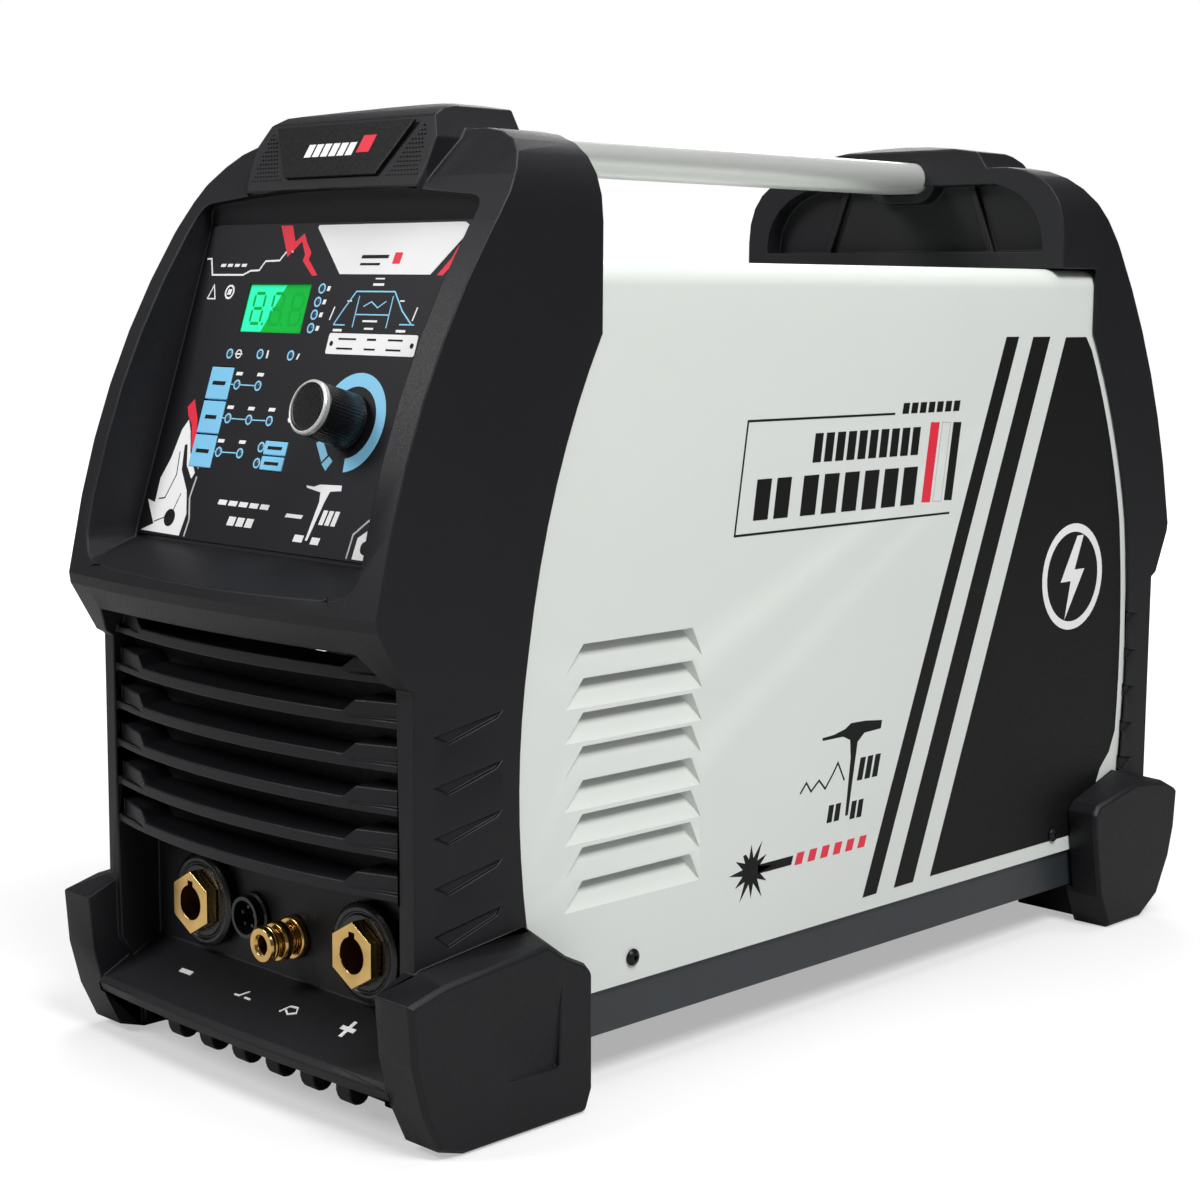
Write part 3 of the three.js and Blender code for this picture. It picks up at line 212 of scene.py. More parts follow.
def add_mesh(name, points, faces, look, body, smooth=None):
    """A mesh from points in millimetres, in the frame that the place matrices give."""
    mesh = bpy.data.meshes.new(name)
    mesh.from_pydata([tuple(c * MM for c in p) for p in points], [], faces)
    bm = bmesh.new()
    bm.from_mesh(mesh)
    bmesh.ops.remove_doubles(bm, verts=bm.verts, dist=1e-7)
    bmesh.ops.dissolve_degenerate(bm, edges=bm.edges, dist=1e-8)
    bmesh.ops.recalc_face_normals(bm, faces=bm.faces)
    bm.to_mesh(mesh)
    bm.free()
    return finish_piece(add_object(name, mesh), look, body, smooth)


def refine(node, width, segments=2, angle=30, look=None, smooth=30):
    """A bevelled copy of a CAD node, which it replaces."""
    source = nodes[node]
    mesh = source.data.copy()
    bm = bmesh.new()
    bm.from_mesh(mesh)
    bmesh.ops.remove_doubles(bm, verts=bm.verts, dist=3e-6)
    bmesh.ops.dissolve_limit(bm, angle_limit=math.radians(0.7), verts=bm.verts, edges=bm.edges)
    bm.to_mesh(mesh)
    bm.free()
    obj = add_object(node + "_surface", mesh)
    slot = slots[node]
    finish_piece(obj, look or LOOKS[slot], source["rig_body"], smooth)
    bevel = obj.modifiers.new("edges", "BEVEL")
    bevel.width = width * MM
    bevel.segments = segments
    bevel.limit_method = "ANGLE"
    bevel.angle_limit = math.radians(angle)
    bevel.use_clamp_overlap = False
    bevel.harden_normals = True
    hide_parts(node)
    return obj


def rounded(profile, radius):
    """The profile with each inner corner cut to a small arc."""
    closed = profile[0] == profile[-1]
    corners = profile[:-1] if closed else profile
    count = len(corners)
    out = []
    for i, corner in enumerate(corners):
        if not closed and i in (0, count - 1):
            out.append(corner)
            continue
        here = Vector(corner)
        before, after = Vector(corners[i - 1]) - here, Vector(corners[(i + 1) % count]) - here
        cut = min(radius, before.length * 0.45, after.length * 0.45)
        a, b = here + before.normalized() * cut, here + after.normalized() * cut
        for t in (0, 0.33, 0.67, 1):
            out.append(tuple(a * (1 - t) ** 2 + here * 2 * t * (1 - t) + b * t * t))
    if closed:
        out.append(out[0])
    return out


def turned(name, profile, place, look, body, slot, segments=96, radius=0.25, ripple=None, smooth=40):
    """A turned piece: profile points are radius and height in millimetres along the place's +Z."""
    points, faces = [], []
    line = rounded(profile, radius)
    rows = len(line)
    for k in range(segments):
        angle = 2 * math.pi * k / segments
        for r, h in line:
            r = ripple(r, h, k) if ripple else r
            points.append(place @ Vector((r * math.cos(angle), r * math.sin(angle), h)))
        nxt = (k + 1) % segments
        faces += [(k * rows + j, nxt * rows + j, nxt * rows + j + 1, k * rows + j + 1)
                  for j in range(rows - 1) if max(line[j][0], line[j + 1][0]) > 1e-6]
    return add_mesh(name, points, faces, look, body, smooth)


# ---- flat artwork --------------------------------------------------------------------------------
def prisms(name, shapes, place, look, body, low=0.02, high=0.10):
    """Thin printed shapes: each is a list of points in the place's own plane, in millimetres."""
    points, faces = [], []
    for shape in shapes:
        start, count = len(points), len(shape)
        points += [place @ Vector((a, b, low)) for a, b in shape]
        points += [place @ Vector((a, b, high)) for a, b in shape]
        faces.append(tuple(range(start + count - 1, start - 1, -1)))
        faces.append(tuple(range(start + count, start + 2 * count)))
        for i in range(count):
            j = (i + 1) % count
            faces.append((start + i, start + j, start + count + j, start + count + i))
    return add_mesh(name, points, faces, look, body)


def bar(u, v, wide, tall, lean=0.0):
    a, b = wide / 2, tall / 2
    return [(u - a - lean * b, v - b), (u + a - lean * b, v - b), (u + a + lean * b, v + b),
            (u - a + lean * b, v + b)]


def soft_bar(u, v, wide, tall, radius):
    shape = []
    for cx, cy, start in ((1, -1, -90), (1, 1, 0), (-1, 1, 90), (-1, -1, 180)):
        for step in range(5):
            angle = math.radians(start + step * 22.5)
            shape.append((u + cx * (wide / 2 - radius) + radius * math.cos(angle),
                          v + cy * (tall / 2 - radius) + radius * math.sin(angle)))
    return shape


def disc(u, v, radius, count=28):
    return [(u + radius * math.cos(2 * math.pi * i / count), v + radius * math.sin(2 * math.pi * i / count))
            for i in range(count)]


def arc_band(u, v, inner, outer, start, end, count=28):
    angles = [math.radians(start + (end - start) * i / count) for i in range(count + 1)]
    shapes = []
    for a, b in zip(angles, angles[1:]):
        shapes.append([(u + r * math.cos(t), v + r * math.sin(t)) for r, t in
                       ((inner, a), (outer, a), (outer, b), (inner, b))])
    return shapes


def stroke(points, width):
    """One closed outline round a bent line."""
    sides = ([], [])
    line = [Vector(p) for p in points]
    for i, here in enumerate(line):
        along = [(line[j + 1] - line[j]).normalized() for j in (i - 1, i) if 0 <= j < len(line) - 1]
        normals = [Vector((-d.y, d.x)) for d in along]
        middle = sum(normals, Vector((0, 0))).normalized()
        reach = width / 2 / max(0.4, middle.dot(normals[0]))
        sides[0].append(tuple(here + middle * reach))
        sides[1].append(tuple(here - middle * reach))
    return sides[0] + sides[1][::-1]


# ---- places --------------------------------------------------------------------------------------
PANEL_LEAN = math.radians(17.94)
CROWN_LEAN = math.radians(22)


def tilted(origin, lean):
    u, v, w = (1, 0, 0), (0, math.sin(lean), math.cos(lean)), (0, -math.cos(lean), math.sin(lean))
    return Matrix.Translation(origin) @ Matrix((u, v, w)).transposed().to_4x4()


PANEL = tilted((0, -222.45, 199.71), PANEL_LEAN)
CROWN = tilted((0, -191, 329), CROWN_LEAN)
REAR = Matrix.Rotation(math.pi, 4, "Z")
FORWARD = Matrix.Rotation(math.pi / 2, 4, "X")


def facing_front(x, y, z):
    return Matrix.Translation((x, y, z)) @ FORWARD


def on_side(side):
    """The cover's side: the first number is the place along the machine, the second the height."""
    return Matrix(((0, 0, side, 90 * side), (1, 0, 0, 0), (0, 1, 0, 0), (0, 0, 0, 1)))


slots = {entry["node"]: entry["material_slot"] for entry in frame["record"]["subparts"]}
body_of = {name: node["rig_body"] for name, node in nodes.items()}


# ---- carried-over nodes ----------------------------------------------------------------------------
def paint_nodes():
    for name, node in nodes.items():
        node.data.materials.clear()
        node.data.materials.append(LOOKS[slots[name]])


def refine_nodes():
    refine("front_bezel", 0.7, 2, 32)
    refine("rear_bezel", 0.7, 2, 32)
    refine("cover", 0.25, 2, 40)
    refine("base_tray", 0.3, 2, 40)
    refine("badge_plate", 0.3, 2)
    refine("handle_insert_front", 0.2, 2)
    refine("handle_insert_rear", 0.2, 2)
    refine("mains_switch_body", 0.35, 2)
    refine("mains_switch_rocker", 0.5, 3)
    refine("fan_frame", 0.3, 2)
    refine("fan_rotor", 0.25, 2)
    refine("dinse_insert_negative", 0.3, 2, 35)
    refine("dinse_insert_positive", 0.3, 2, 35)
    for key in ("key_output", "key_mode", "key_trigger", "key_save", "key_load"):
        refine(key, 0.35, 3)


# ---- turned pieces ---------------------------------------------------------------------------------
FRONT_SEAT = -212.3
REAR_SEAT = -220.3


def add_turned_pieces():
    def piece(node, profile, place, **more):
        obj = turned(node + "_surface", profile, place, LOOKS[slots[node]], body_of[node], slots[node],
                     **more)
        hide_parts(node)

    for name, x in (("negative", -48.8), ("positive", 48.8)):
        piece(f"dinse_insulator_{name}", [(9.7, -10), (12, -10), (12, 0), (17.3, 0), (18.3, 1.5), (18.3, 4),
                                          (16.5, 5), (15.2, 5), (14.8, 4.5), (14.2, 4.5), (13.8, 5),
                                          (9.7, 5), (9.7, -10)],
              facing_front(x, FRONT_SEAT, 58.9), radius=0.4)
    piece("gas_outlet", [(0, -16), (3.4, -16), (3.4, -10), (5.5, -10), (5.5, 3.6), (4.8, 3.6), (4.8, 6),
                         (7, 6), (7.6, 7), (7.6, 9), (7, 10), (4.9, 10), (4.9, 12), (6.6, 12.4), (6.9, 13),
                         (6.9, 13.7), (6.5, 14), (6.9, 14.3), (6.9, 15), (6.3, 16.2), (4, 16.2), (3.2, 15),
                         (3.2, -8), (0, -8)],
          facing_front(4, FRONT_SEAT, 54.5), radius=0.2)
    piece("gas_outlet_collar", [(5.8, 0), (7.6, 0), (8.2, 0.6), (8.2, 2.4), (7.6, 3), (5.8, 3), (5.8, 0)],
          facing_front(4, FRONT_SEAT, 54.5))
    gland_place = REAR @ facing_front(-46, REAR_SEAT, 60)
    piece("cable_gland", [(5, -14), (9, -14), (9, 0), (13, 0), (13, 5), (9.2, 5), (9.2, 12), (5, 12),
                          (5, -14)], gland_place)
    piece("cable_gland_nut", [(9.8, 5.4), (12.5, 5.4), (12.5, 13), (9, 17.5), (5.2, 17.5), (5.2, 12.4),
                              (9.8, 12.4), (9.8, 5.4)], gland_place,
          ripple=lambda r, h, k: r - (0.5 if r > 10 and k % 8 in (0, 1) else 0), segments=96)
    barbs = [point for h in (8, 11.5, 15) for point in ((3.2, h), (4.3, h + 0.2), (3.2, h + 3.3))]
    inlet_place = REAR @ facing_front(40, REAR_SEAT, 60)
    piece("gas_inlet", [(0, -16), (3.4, -16), (3.4, -10), (5, -10), (5, 0), (7.5, 0), (7.5, 5), (3.2, 5),
                        *barbs, (3.2, 20), (1.8, 20), (1.8, -13), (0, -13)], inlet_place, radius=0.1)


KNOB_CENTRE = (32.5, 49)
POINTER_ANGLE = 215


def add_knob():
    place = PANEL @ Matrix.Translation((*KNOB_CENTRE, 0))

    def flute(r, h, k):
        return r - (0.16 if r > 9.5 and 3 < h < 16.6 and k % 4 in (0, 1) else 0)

    body = turned("knob_surface", [(0, 15.6), (3.25, 15.6), (3.25, 3), (6, 3), (6, 1.4), (10.2, 1.4),
                                   (10.4, 2), (10.1, 2.8), (10.05, 4), (9.9, 16), (9.9, 18), (0, 18)],
                  place, LOOKS["gloss_black"], "control_knob", "gloss_black", segments=192, ripple=flute,
                  smooth=50)
    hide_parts("knob")
    ring = turned("knob_ring_surface", [(8.8, 18.3), (9.9, 18.3), (9.9, 20), (9.4, 20.6), (8.8, 20.6),
                                        (8.8, 18.3)], place,
                  LOOKS["aluminium"], "control_knob", "aluminium", segments=128, radius=0.15)
    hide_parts("knob_ring")
    cap = turned("knob_cap_surface", [(0, 18.3), (8.5, 18.3), (8.5, 20), (7.9, 20.6), (7.6, 20.45),
                                      (0, 20.5)], place,
                 LOOKS["gloss_black"], "control_knob", "gloss_black", segments=128)
    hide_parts("knob_cap")
    pointer = place @ Matrix.Rotation(math.radians(POINTER_ANGLE), 4, "Z")
    prisms("knob_pointer", [[(8.95, -1.0), (9.85, -0.7), (9.85, 0.7), (8.95, 1.0)]], pointer,
           PRINT["white"], "control_knob", 20.1, 20.75)


def add_cover_screws():
    for index, (side, y) in enumerate(((1, -121.5), (-1, -121.5), (1, 157.6), (-1, 157.6))):
        place = Matrix.Translation((90 * side, y, 46.4)) @ Matrix.Rotation(side * math.pi / 2, 4, "Y")
        obj = turned(f"cover_screw_{index + 1}_surface",
                     [(0, 0.5), (0.9, 0.5), (0.95, 2.15), (2, 1.95), (3.2, 0.95), (3.3, 0.3), (2, 0.3),
                      (2, -7), (0, -7)],
                     place, LOOKS["black_zinc"], "machine", "black_zinc", segments=48, radius=0.2)
        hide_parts(f"cover_screw_{index + 1}")


TUBE_HEIGHT = 345.8
TUBE_HALF_LENGTH = 166.7


def add_handle_tube():
    def ring(wide, tall, count=24):
        radius = tall / 2
        flat = wide / 2 - radius
        out = []
        for i in range(count + 1):
            angle = -math.pi / 2 + math.pi * i / count
            out.append((flat + radius * math.cos(angle), TUBE_HEIGHT + radius * math.sin(angle)))
        return out + [(-x, 2 * TUBE_HEIGHT - z) for x, z in out]

    end = TUBE_HALF_LENGTH
    loops = [(28.9, 12.9, -end), (30, 14, -end + 0.6), (30, 14, end - 0.6), (28.9, 12.9, end),
             (26, 10, end), (26, 10, -end)]
    points, faces = [], []
    for wide, tall, y in loops:
        points += [(x, y, z) for x, z in ring(wide, tall)]
    size = len(ring(30, 14))
    for k in range(len(loops)):
        a, b = k * size, ((k + 1) % len(loops)) * size
        faces += [(a + i, a + (i + 1) % size, b + (i + 1) % size, b + i) for i in range(size)]
    obj = add_mesh("handle_tube_surface", points, faces, LOOKS["aluminium"], "machine", 40)
    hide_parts("handle_tube")


# ---- panel artwork ---------------------------------------------------------------------------------
UNIT_LIGHTS = [(-2, 98.2), (-2.7, 93.1), (-2.9, 88.2), (-3.1, 83.1)]
STATUS_LIGHTS = [(-48.2, 72.3), (-29.4, 72.6), (-10.9, 72.5)]
MODE_ROWS = [[(-39, 60.4), (-26, 60.4)],
             [(-39.4, 47.3), (-26.5, 47.3), (-14.1, 47.4)],
             [(-40.1, 34.2), (-27, 34.4)]]
SAVE_LIGHTS = [(-15, 37.4), (-15.4, 31.3)]


def add_lights():
    places = UNIT_LIGHTS + STATUS_LIGHTS + [p for row in MODE_ROWS for p in row] + SAVE_LIGHTS
    rims = [shape for u, v in places for shape in arc_band(u, v, 1.35, 2.0, 0, 360, 20)]
    links = [stroke([(a[0] + 2.2, a[1]), (b[0] - 2.2, b[1])], 0.45)
             for row in MODE_ROWS for a, b in zip(row, row[1:])]
    links += [stroke([(-43, v), (row[0][0] - 2.2, row[0][1])], 0.45)
              for row, v in zip(MODE_ROWS, (60.4, 47.3, 34.2))]
    panel_print("panel_light_rims", rims + links, "blue")
    for index, (u, v) in enumerate(places):
        turned(f"panel_light_{index + 1}", [(1.28, 0.02), (1.25, 0.12), (0.9, 0.3), (0, 0.38)],
               PANEL @ Matrix.Translation((u, v, 0)), PRINT["lens"], "machine", "display_green",
               segments=20, radius=0.05)


def panel_print(name, shapes, ink, low=0.02, high=0.1):
    return prisms(name, shapes, PANEL, PRINT[ink], "machine", low, high)


def add_panel_header():
    panel_print("panel_title_plate", [[(6.1, 103.7), (56.1, 103.5), (72.4, 120.6), (68, 122.6),
                                       (-12.6, 122.6), (-12.9, 121.5)]],
                "white")
    panel_print("panel_title_mark", [bar(24, 110.2, 15, 1.3, 0.3), bar(22, 107.4, 11, 0.9, 0.3)], "black",
                0.1, 0.14)
    panel_print("panel_title_square", [bar(36.5, 109.6, 4.2, 4.2, 0.15)], "red", 0.1, 0.14)
    left = [(-35.6, 122.7), (-28.5, 122.7), (-24.6, 116.2), (-20.3, 119.6), (-17.3, 115.8), (-13.5, 112),
            (-14, 109.3), (-6.7, 103.2), (-9.6, 103), (-17.4, 108.8), (-16.9, 111.2), (-20.6, 116.4),
            (-27.1, 110.3)]
    right = [(76.2, 121.6), (73.4, 121.6), (66.8, 112.8), (65.4, 109.6), (59.6, 103.2), (62.8, 103.2),
             (69.2, 110), (69.4, 112.6)]
    panel_print("panel_red_flashes", [left, right], "red")
    panel_print("panel_steps", [stroke([(-77.6, 109.9), (-74.8, 109.9), (-71.8, 103.4), (-52, 103.4),
                                        (-48, 105), (-42.6, 105.2), (-40, 108.8), (-31.5, 109),
                                        (-28.6, 112.4), (-24.5, 112.4)], 0.7),
                                stroke([(-71.3, 93.8), (-66.3, 93.8), (-68.8, 99.2), (-71.3, 93.8)], 0.5),
                                stroke([(72.6, 104.8), (71.6, 101.4), (69.6, 98.6), (70.9, 98.4),
                                        (73.6, 101.8), (72.6, 104.8)], 0.6),
                                *[bar(-66 + 4.4 * i, 107.2, 3.0, 1.2, 0.3) for i in range(4)]], "white")
    panel_print("panel_round_icon", arc_band(-57.9, 96.6, 2.1, 2.9, 0, 360, 24) + [bar(-57.9, 96.6, 2.2,
                                                                                       2.2, 0.2)], "white")


def add_panel_diagram():
    blue = [stroke([(9.5, 84.6), (13.2, 90.3), (18.2, 97.2), (39.5, 97.2), (45.8, 90.2), (52.5, 85.2)],
                   0.55),
            stroke([(20.5, 83.8), (20.5, 95.6)], 0.45), stroke([(39.2, 83.8), (39.2, 95.6)], 0.45),
            stroke([(20.5, 88.6), (39.2, 88.6)], 0.45), stroke([(9.5, 84.6), (16, 84.6)], 0.45),
            stroke([(46, 85.2), (54, 85.2)], 0.45), stroke([(24, 91.6), (28, 93.4), (32, 91.2), (36, 93.6)],
                                                           0.45)]
    panel_print("panel_diagram_blue", blue, "blue")
    white = [bar(29.5, 99.8, 6, 0.9), bar(29.6, 102.0, 5, 0.5), bar(29.5, 86.2, 8, 0.7), bar(29.8, 83.4, 5,
                                                                                             0.7),
             bar(12.5, 82.6, 5, 0.9), bar(47.5, 82.8, 5, 0.9), stroke([(8.0, 91.4), (6.6, 86.4)], 0.6),
             stroke([(53.6, 91.6), (52.4, 86.6)], 0.6), bar(15.6, 93.6, 2.4, 0.5), bar(44.6, 93.8, 2.4,
                                                                                       0.5)]
    panel_print("panel_diagram_white", white, "white")
    panel_print("panel_legend", [soft_bar(33.2, 77.6, 49, 7.8, 0.9)], "white")
    marks = [bar(19.5, 79.4, 10, 0.7), bar(33, 79.4, 5, 0.8), bar(46, 79.4, 8, 0.7), bar(19, 75.8, 9, 0.7),
             bar(33, 75.8, 6, 0.7), bar(46, 75.8, 8, 0.7), disc(11, 77.6, 1, 16), disc(55.4, 77.6, 1, 16)]
    panel_print("panel_legend_marks", marks, "black", 0.1, 0.14)


def add_panel_lower():
    ring = arc_band(*KNOB_CENTRE, 13.2, 18.2, -83, 218, 60)
    wedges = [[(16.2, 40.6), (19.2, 42.4), (24.2, 36.6), (21.6, 33.9)], [(21.9, 33.2), (25.2, 36.2),
                                                                         (27.6, 34.6), (25.0, 30.9)]]
    panel_print("panel_dial_scale", ring[:-14] + wedges, "blue")
    captions = [bar(u, v + 4.3, 3.8, 1.3, 0.25) for row in MODE_ROWS for u, v in row]
    captions += [bar(u + 3.9, v, 1.7, 1.8, 0.2) for u, v in UNIT_LIGHTS]
    captions += [bar(-24.9, 72.6, 0.9, 3), bar(-6.4, 72.2, 0.9, 2.2, 0.4), bar(-42.6, 72.3, 4.4, 0.6)]
    captions += arc_band(-42.6, 72.3, 1.3, 1.8, 0, 360, 20)
    captions += [bar(-30 + 6.4 * i, 15.4, 5.0, 1.9, 0.3) for i in range(5)]
    captions += [bar(-22 + 5.4 * i, 8.8, 4.2, 3.4, 0.25) for i in range(3)]
    panel_print("panel_captions", captions, "white")
    torch = [[(16.5, 25), (21, 24.8), (24, 25.8), (36, 26.2), (36.4, 24.2), (30.4, 23.6), (28.6, 19.5),
              (24.2, 5.2), (23.0, 5.2), (25.8, 19.5), (25.2, 23), (17, 24.2)], *blocks(28.4, 38.4, 11.4,
                                                                                       16.8, 3, 0.25),
             bar(13.6, 13.4, 9.4, 1.4, 0.5), bar(19, 5.6, 5.2, 2.6, 0.25), bar(28.6, 5.4, 4.6, 2.6, 0.25)]
    panel_print("panel_torch_mark", torch, "white")
    key_marks = [("key_output", -50, 60.6, 8, 1.5), ("key_mode", -50, 47.3, 7, 1.5),
                 ("key_trigger", -50, 34, 8, 1.5), ("key_save", -6.5, 37.4, 8.4, 1.2),
                 ("key_load", -6.5, 31.6, 8.4, 1.2)]
    for key, u, v, wide, tall in key_marks:
        prisms(key + "_mark", [bar(u, v, wide, tall, 0.2)], PANEL, PRINT["black"], body_of[key],
               0.3, 0.36)


def add_corner_art():
    """Plain angular bracket shapes in the label's two lower corners."""
    body = [(-77.2, 1.2), (-70, 4.2), (-77.4, 13.4), (-72.4, 12.4), (-72.6, 22), (-69, 30), (-66.4, 41.6),
            (-63.6, 45.6), (-60.8, 41), (-57.6, 33), (-51.6, 25.2), (-53, 23), (-57.8, 28), (-60.6, 36.2),
            (-62.4, 35.6), (-60.4, 26), (-54, 18.2), (-50.6, 9.4), (-52, 0.8)]
    panel_print("panel_corner_plate", [body], "white")
    inner = [stroke([(-70.4, 14), (-66.6, 14.6), (-62.8, 24), (-64.2, 33)], 0.5),
             stroke([(-70, 5), (-60, 8.4), (-57, 17)], 0.4), disc(-60.6, 7.2, 3.4, 28)]
    panel_print("panel_corner_lines", inner, "black", 0.1, 0.14)
    panel_print("panel_corner_edge", [stroke([(-49.8, 24), (-51, 15.6), (-48, 7.4), (-48.8, 0.8)], 0.8),
                                      stroke([(-53.6, 39.6), (-50.2, 27)], 0.5)], "grey")
    panel_print("panel_corner_red", [[(-66.4, 50.6), (-63.2, 53.8), (-58.4, 46.2), (-54.6, 33.6),
                                      (-57.6, 34.4), (-61, 43.8), (-64.6, 47.2)]], "red")
    second = [[(50.6, 0.8), (51.2, 8.4), (57.2, 12.4), (63.8, 15.6), (66, 11.2), (61.6, 8.6), (60.8, 0.8)]]
    panel_print("panel_corner_plate_right", second, "white")
    panel_print("panel_corner_edge_right",
                [stroke([(47.6, 0.8), (48.4, 9.4), (54.6, 14.6), (62.8, 19)], 0.8),
                                            stroke([(58.6, 19.2), (61.4, 27.2), (66.6, 29.8)], 0.4)],
                "grey")
    panel_print("panel_corner_lines_right", [disc(56.2, 5.2, 2.4, 24)], "black", 0.1, 0.14)


def segment(u, v, wide, tall, lying):
    a, b = wide / 2, tall / 2
    tip = min(a, b)
    if lying:
        return [(u - a, v), (u - a + tip, v - b), (u + a - tip, v - b), (u + a, v), (u + a - tip, v + b),
                (u - a + tip, v + b)]
    return [(u, v - b), (u + a, v - b + tip), (u + a, v + b - tip), (u, v + b), (u - a, v + b - tip),
            (u - a, v - b + tip)]


def add_display():
    refine("display_window", 0.15, 2)
    surface = -0.8
    # painted reflection: a glowing pale green patch laid on the display for its slanting sheen
    shine = [[(-40.5, 81.4), (-33.8, 81.4), (-24.2, 99.6), (-46, 99.6), (-46, 81.4)]]
    prisms("display_shine", shine, PANEL, PRINT["display_sheen"], "machine", surface + 0.02,
           surface + 0.06)
    digits = []
    for index in range(3):
        u, v = -38.8 + index * 11.6, 90.5
        for dv in (-5.9, 0, 5.9):
            digits.append(segment(u, v + dv, 5.4, 1.2, True))
        for du in (-3.1, 3.1):
            for dv in (-2.95, 2.95):
                digits.append(segment(u + du, v + dv, 1.2, 5.0, False))
        digits.append(disc(u + 4.9, v - 6, 0.6, 12))
    prisms("display_digits", digits, PANEL, PRINT["dim_green"], "machine", surface + 0.06,
           surface + 0.09)


# ---- side artwork ----------------------------------------------------------------------------------
def field_outline():
    def bend(p0, p1, p2, count=10):
        return [tuple((1 - t) ** 2 * a + 2 * t * (1 - t) * b + t * t * c for a, b, c in zip(p0, p1, p2))
                for t in (i / count for i in range(count + 1))]

    edge = bend((209, 62), (217, 130), (208.5, 189)) + bend((208.5, 189), (198.5, 236), (175.5, 276))[1:]
    edge = [(y - 3.6, z) for y, z in edge if 84 < z < 273.6]
    return [(64.1, 43.7), (189.6, 43.7), (190.2, 60), (196, 72), (203.5, 79)] + edge + [(171.4, 274),
                                                                                        (155, 274)]


def spark(y, z, outer, inner, points=12):
    shape = []
    for i in range(points * 2):
        radius = outer * (1 if i % 4 == 0 else 0.82) if i % 2 == 0 else inner
        angle = math.pi * i / points
        shape.append((y + radius * math.cos(angle), z + radius * math.sin(angle)))
    return shape


def blocks(start, end, low, high, count, lean=0.2, fill=0.72):
    """A row of plain upright blocks, where the label has a word."""
    pitch = (end - start) / count
    return [bar(start + pitch * (i + 0.5), (low + high) / 2, pitch * fill, high - low, lean)
            for i in range(count)]


def add_side_title(side_print):
    side_print("frame", [stroke([(31.5, 244), (-60, 244.2), (-67, 200.6), (70.8, 200.8)], 0.9)], "black")
    words = blocks(-21.3, 49.4, 226.5, 238, 10, 0.15) + blocks(-29, 48.6, 205.8, 221.6, 6, 0.15)
    words += blocks(-57, -33, 205.8, 221.6, 2, 0.15)
    words += blocks(36, 77, 243.8, 248.2, 7, 0.2)
    side_print("words", words, "black")
    side_print("bar_red", [[(50.8, 206.4), (56.8, 206.1), (62.3, 239.5), (56.2, 239.7)]], "red")
    side_print("bar_black", [[(66.6, 206.4), (72.1, 206.1), (77.7, 239), (72.1, 239.2)]], "black")
    side_print("bar_outline", [stroke([(58.8, 206.4), (64.6, 206.2), (70.1, 239.2), (64.3, 239.4),
                                       (58.8, 206.4)],
                                      0.35)], "grey")


def add_side_torch(side_print):
    head = [(-11.5, 114.6), (-4, 115), (3, 116.4), (7, 118.4), (17, 118.2), (27.7, 117), (27, 113.6),
            (16, 113.2), (11.6, 110), (6.2, 80), (4.4, 80), (7.2, 104), (6.6, 111.4), (2, 113.4),
            (-11.2, 113.4)]
    marks = [head, *blocks(12, 27, 93.6, 103, 3, 0.24),
             stroke([(-24.9, 93.6), (-21, 97.6), (-18, 93.6), (-13, 97.4), (-9, 93.4), (-4, 99), (-1, 103),
                     (3.4, 95)],
                    0.9)]
    marks += blocks(-7.6, 1.6, 78.8, 86, 2, 0.2) + blocks(7.4, 16.4, 78, 85.4, 2, 0.2)
    side_print("torch_mark", marks, "black")


def side_printer(side, name):
    """A function that prints shapes on one side of the cover."""
    def side_print(label, shapes, ink, low=0.02, high=0.1):
        prisms(f"cover_{label}_{name}", shapes, on_side(side), PRINT[ink], "machine", low,
               high)

    return side_print


def add_side_art():
    for side, name in ((1, "right"), (-1, "left")):
        side_print = side_printer(side, name)
        side_print("stripes", [[(17.3, 43), (26.6, 43.1), (118.5, 274.6), (109.1, 274.6)],
                               [(38.6, 43.3), (52, 43.4), (142.6, 274.4), (129.4, 274.4)]], "black")
        side_print("dark_field", [field_outline()], "black")
        ring = arc_band(167, 165.4, 20.6, 24.4, 0, 360, 48)
        bolt = [(170, 184), (157.5, 163.4), (165.6, 163.4), (161.5, 146), (176.5, 168.5), (168.4, 168.5),
                (175, 184)]
        side_print("emblem", ring + [bolt], "white", 0.1, 0.16)
        side_print("spark", [spark(-54.2, 67.2, 13.2, 5.2), [(-50, 65.4), (-29.6, 65.4), (-28.4, 69),
                                                             (-50, 69)]],
                   "black")
        side_print("dashes", [bar(-24.4 + 8.1 * i, 67.2, 4.6, 4.8, 0.35) for i in range(6)], "red")
        add_side_title(side_print)
        add_side_torch(side_print)


# ---- moulded details -------------------------------------------------------------------------------
def inside(point, shape):
    hit = False
    for (x0, y0), (x1, y1) in zip(shape, shape[1:] + shape[:1]):
        if (y0 > point[1]) != (y1 > point[1]) and point[0] < (x1 - x0) * (point[1] - y0) / (y1 - y0) + x0:
            hit = not hit
    return hit


def studs(area, pitch, size):
    """Small lozenges in staggered rows, inside an outline."""
    low = [min(p[i] for p in area) for i in (0, 1)]
    high = [max(p[i] for p in area) for i in (0, 1)]
    shapes = []
    for row in range(int((high[1] - low[1]) / pitch) + 1):
        for column in range(int((high[0] - low[0]) / pitch) + 2):
            u = low[0] + pitch * (column + (0.5 if row % 2 else 0))
            v = low[1] + pitch * row
            if inside((u, v), area):
                shapes.append([(u - size, v), (u - size * 0.4, v - size * 0.55),
                               (u + size * 0.4, v - size * 0.55), (u + size, v),
                               (u + size * 0.4, v + size * 0.55), (u - size * 0.4, v + size * 0.55)])
    return shapes


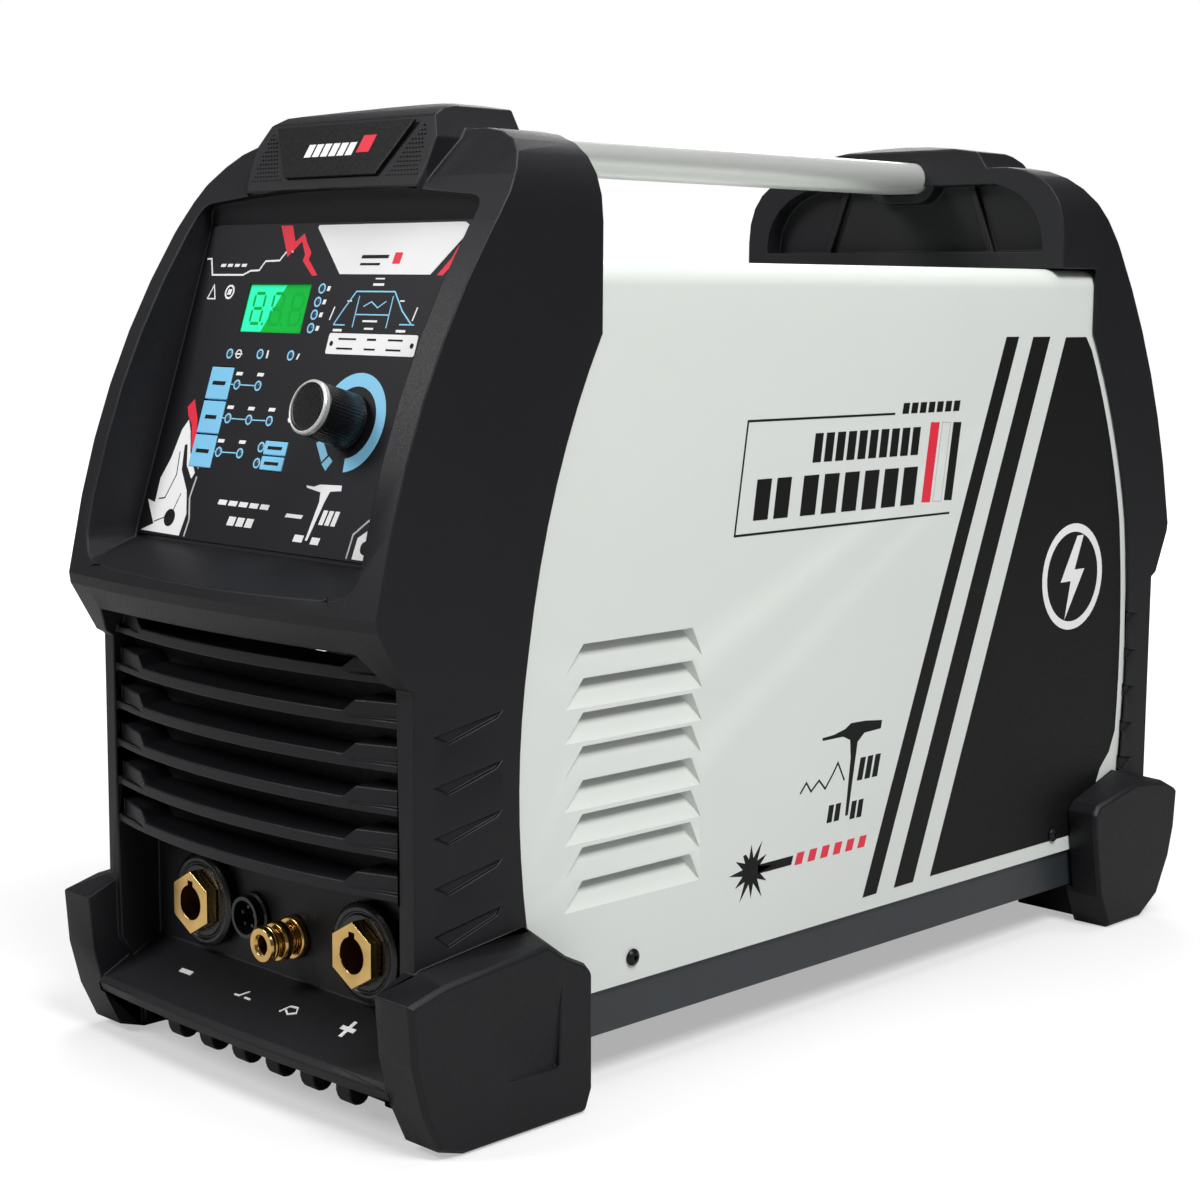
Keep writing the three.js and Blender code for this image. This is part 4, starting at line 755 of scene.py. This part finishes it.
def add_crown_texture():
    plastic = LOOKS["moulded_plastic"]
    for sign, name in ((1, "right"), (-1, "left")):
        area = [(30.5 * sign, 4.6), (47.6 * sign, 4.6), (44.6 * sign, 24), (42.4 * sign, 24)]
        prisms(f"crown_studs_{name}", studs(area, 1.7, 0.62), CROWN, plastic, "machine",
               -0.02, 0.22)
    prisms("badge_mark", blocks(-17.5, 11, 12.2, 17.2, 6, 0.3, 0.78), CROWN, PRINT["white"], "machine",
           1.52, 1.6)
    prisms("badge_square", [bar(16.6, 16.4, 7, 6.6, 0.3)], CROWN, PRINT["red"], "machine",
           1.52, 1.6)


def sill_height(x, y):
    reach = 25 + 3 * (1 - (x / 88) ** 2)
    return 38 - (-212 - y) * 13 / reach


def add_sill_marks():
    marks = [bar(-48.8, -224.5, 7.4, 1.7), bar(48.8, -224, 7.4, 1.7), bar(48.8, -224, 1.7, 7.4),
             stroke([(-15, -226.5), (-12.4, -226.5), (-9.6, -223.4)], 0.6),
             stroke([(-9, -226.5), (-5.4, -226.5)], 0.6),
             stroke([(12.6, -227), (15, -223.4), (18.8, -223), (20.6, -225.2), (17.4, -226.8),
                     (14.6, -225.4)], 0.6)]
    points, faces = [], []
    for shape in marks:
        start, count = len(points), len(shape)
        for lift in (-0.05, 0.22):
            points += [(x, y, sill_height(x, y) + lift) for x, y in shape]
        faces.append(tuple(range(start + count - 1, start - 1, -1)))
        faces.append(tuple(range(start + count, start + 2 * count)))
        faces += [(start + i, start + (i + 1) % count, start + count + (i + 1) % count, start + count + i)
                  for i in range(count)]
    add_mesh("sill_marks", points, faces, PRINT["white"], "machine")


# ---- stage -----------------------------------------------------------------------------------------
def area_light(name, place, target, size, power, color=(1, 1, 1)):
    data = bpy.data.lights.new(name, "AREA")
    data.shape = "RECTANGLE"
    data.size, data.size_y = size
    data.energy = power
    data.color = color
    obj = bpy.data.objects.new(name, data)
    scene.collection.objects.link(obj)
    obj.location = place
    obj.rotation_euler = (Vector(target) - Vector(place)).to_track_quat("-Z", "Y").to_euler()


def floor_material():
    """A pale floor that brightens to white with distance, so that it has no horizon."""
    made = material("floor", (0.5, 0.5, 0.5), 0.9, grain=60, depth=0.02, tone=0.01, blotch=3, gloss=0.1)
    tree = made.node_tree
    surface = tree.nodes["Principled BSDF"]
    away = tree.nodes.new("ShaderNodeVectorMath")
    away.operation = "LENGTH"
    tree.links.new(tree.nodes.new("ShaderNodeTexCoord").outputs["Object"], away.inputs[0])
    surface.inputs["Emission Color"].default_value = (1, 1, 1, 1)
    seen = tree.nodes.new("ShaderNodeLightPath").outputs["Is Camera Ray"]
    lift = tree.nodes.new("ShaderNodeMath")
    lift.operation = "MULTIPLY"
    tree.links.new(remap(tree, away.outputs["Value"], 0.3, 1.6, 0.42, 1.0), lift.inputs[0])
    tree.links.new(seen, lift.inputs[1])
    tree.links.new(lift.outputs["Value"], surface.inputs["Emission Strength"])
    return made


def add_stage():
    mesh = bpy.data.meshes.new("floor")
    mesh.from_pydata([(-12, -12, 0), (12, -12, 0), (12, 12, 0), (-12, 12, 0)], [], [(0, 1, 2, 3)])
    floor = add_object("floor", mesh)
    mesh.materials.append(floor_material())
    world = bpy.data.worlds.new("world")
    world.use_nodes = True
    tree = world.node_tree
    sky = tree.nodes["Background"]
    sky.inputs[0].default_value = (1, 1, 1, 1)
    seen = tree.nodes.new("ShaderNodeLightPath").outputs["Is Camera Ray"]
    tree.links.new(remap(tree, seen, 0, 1, 0.12, 1.0), sky.inputs[1])
    scene.world = world
    scene.view_settings.view_transform = "Standard"
    area_light("key", (1.35, -0.45, 1.8), (0, 0, 0.2), (0.8, 0.8), 44)
    area_light("front", (-0.8, -1.7, 1.5), (0, -0.1, 0.2), (0.8, 0.8), 27)
    area_light("top", (0, 0.3, 2.2), (0, 0, 0.2), (1.1, 1.1), 20)
    area_light("rear fill", (-1.3, 1.6, 1.4), (0, 0, 0.15), (1.0, 1.0), 16)


add_camera()
paint_nodes()
refine_nodes()
add_turned_pieces()
add_knob()
add_cover_screws()
add_handle_tube()
add_lights()
add_panel_header()
add_panel_diagram()
add_panel_lower()
add_corner_art()
add_display()
add_side_art()
add_crown_texture()
add_sill_marks()
add_stage()
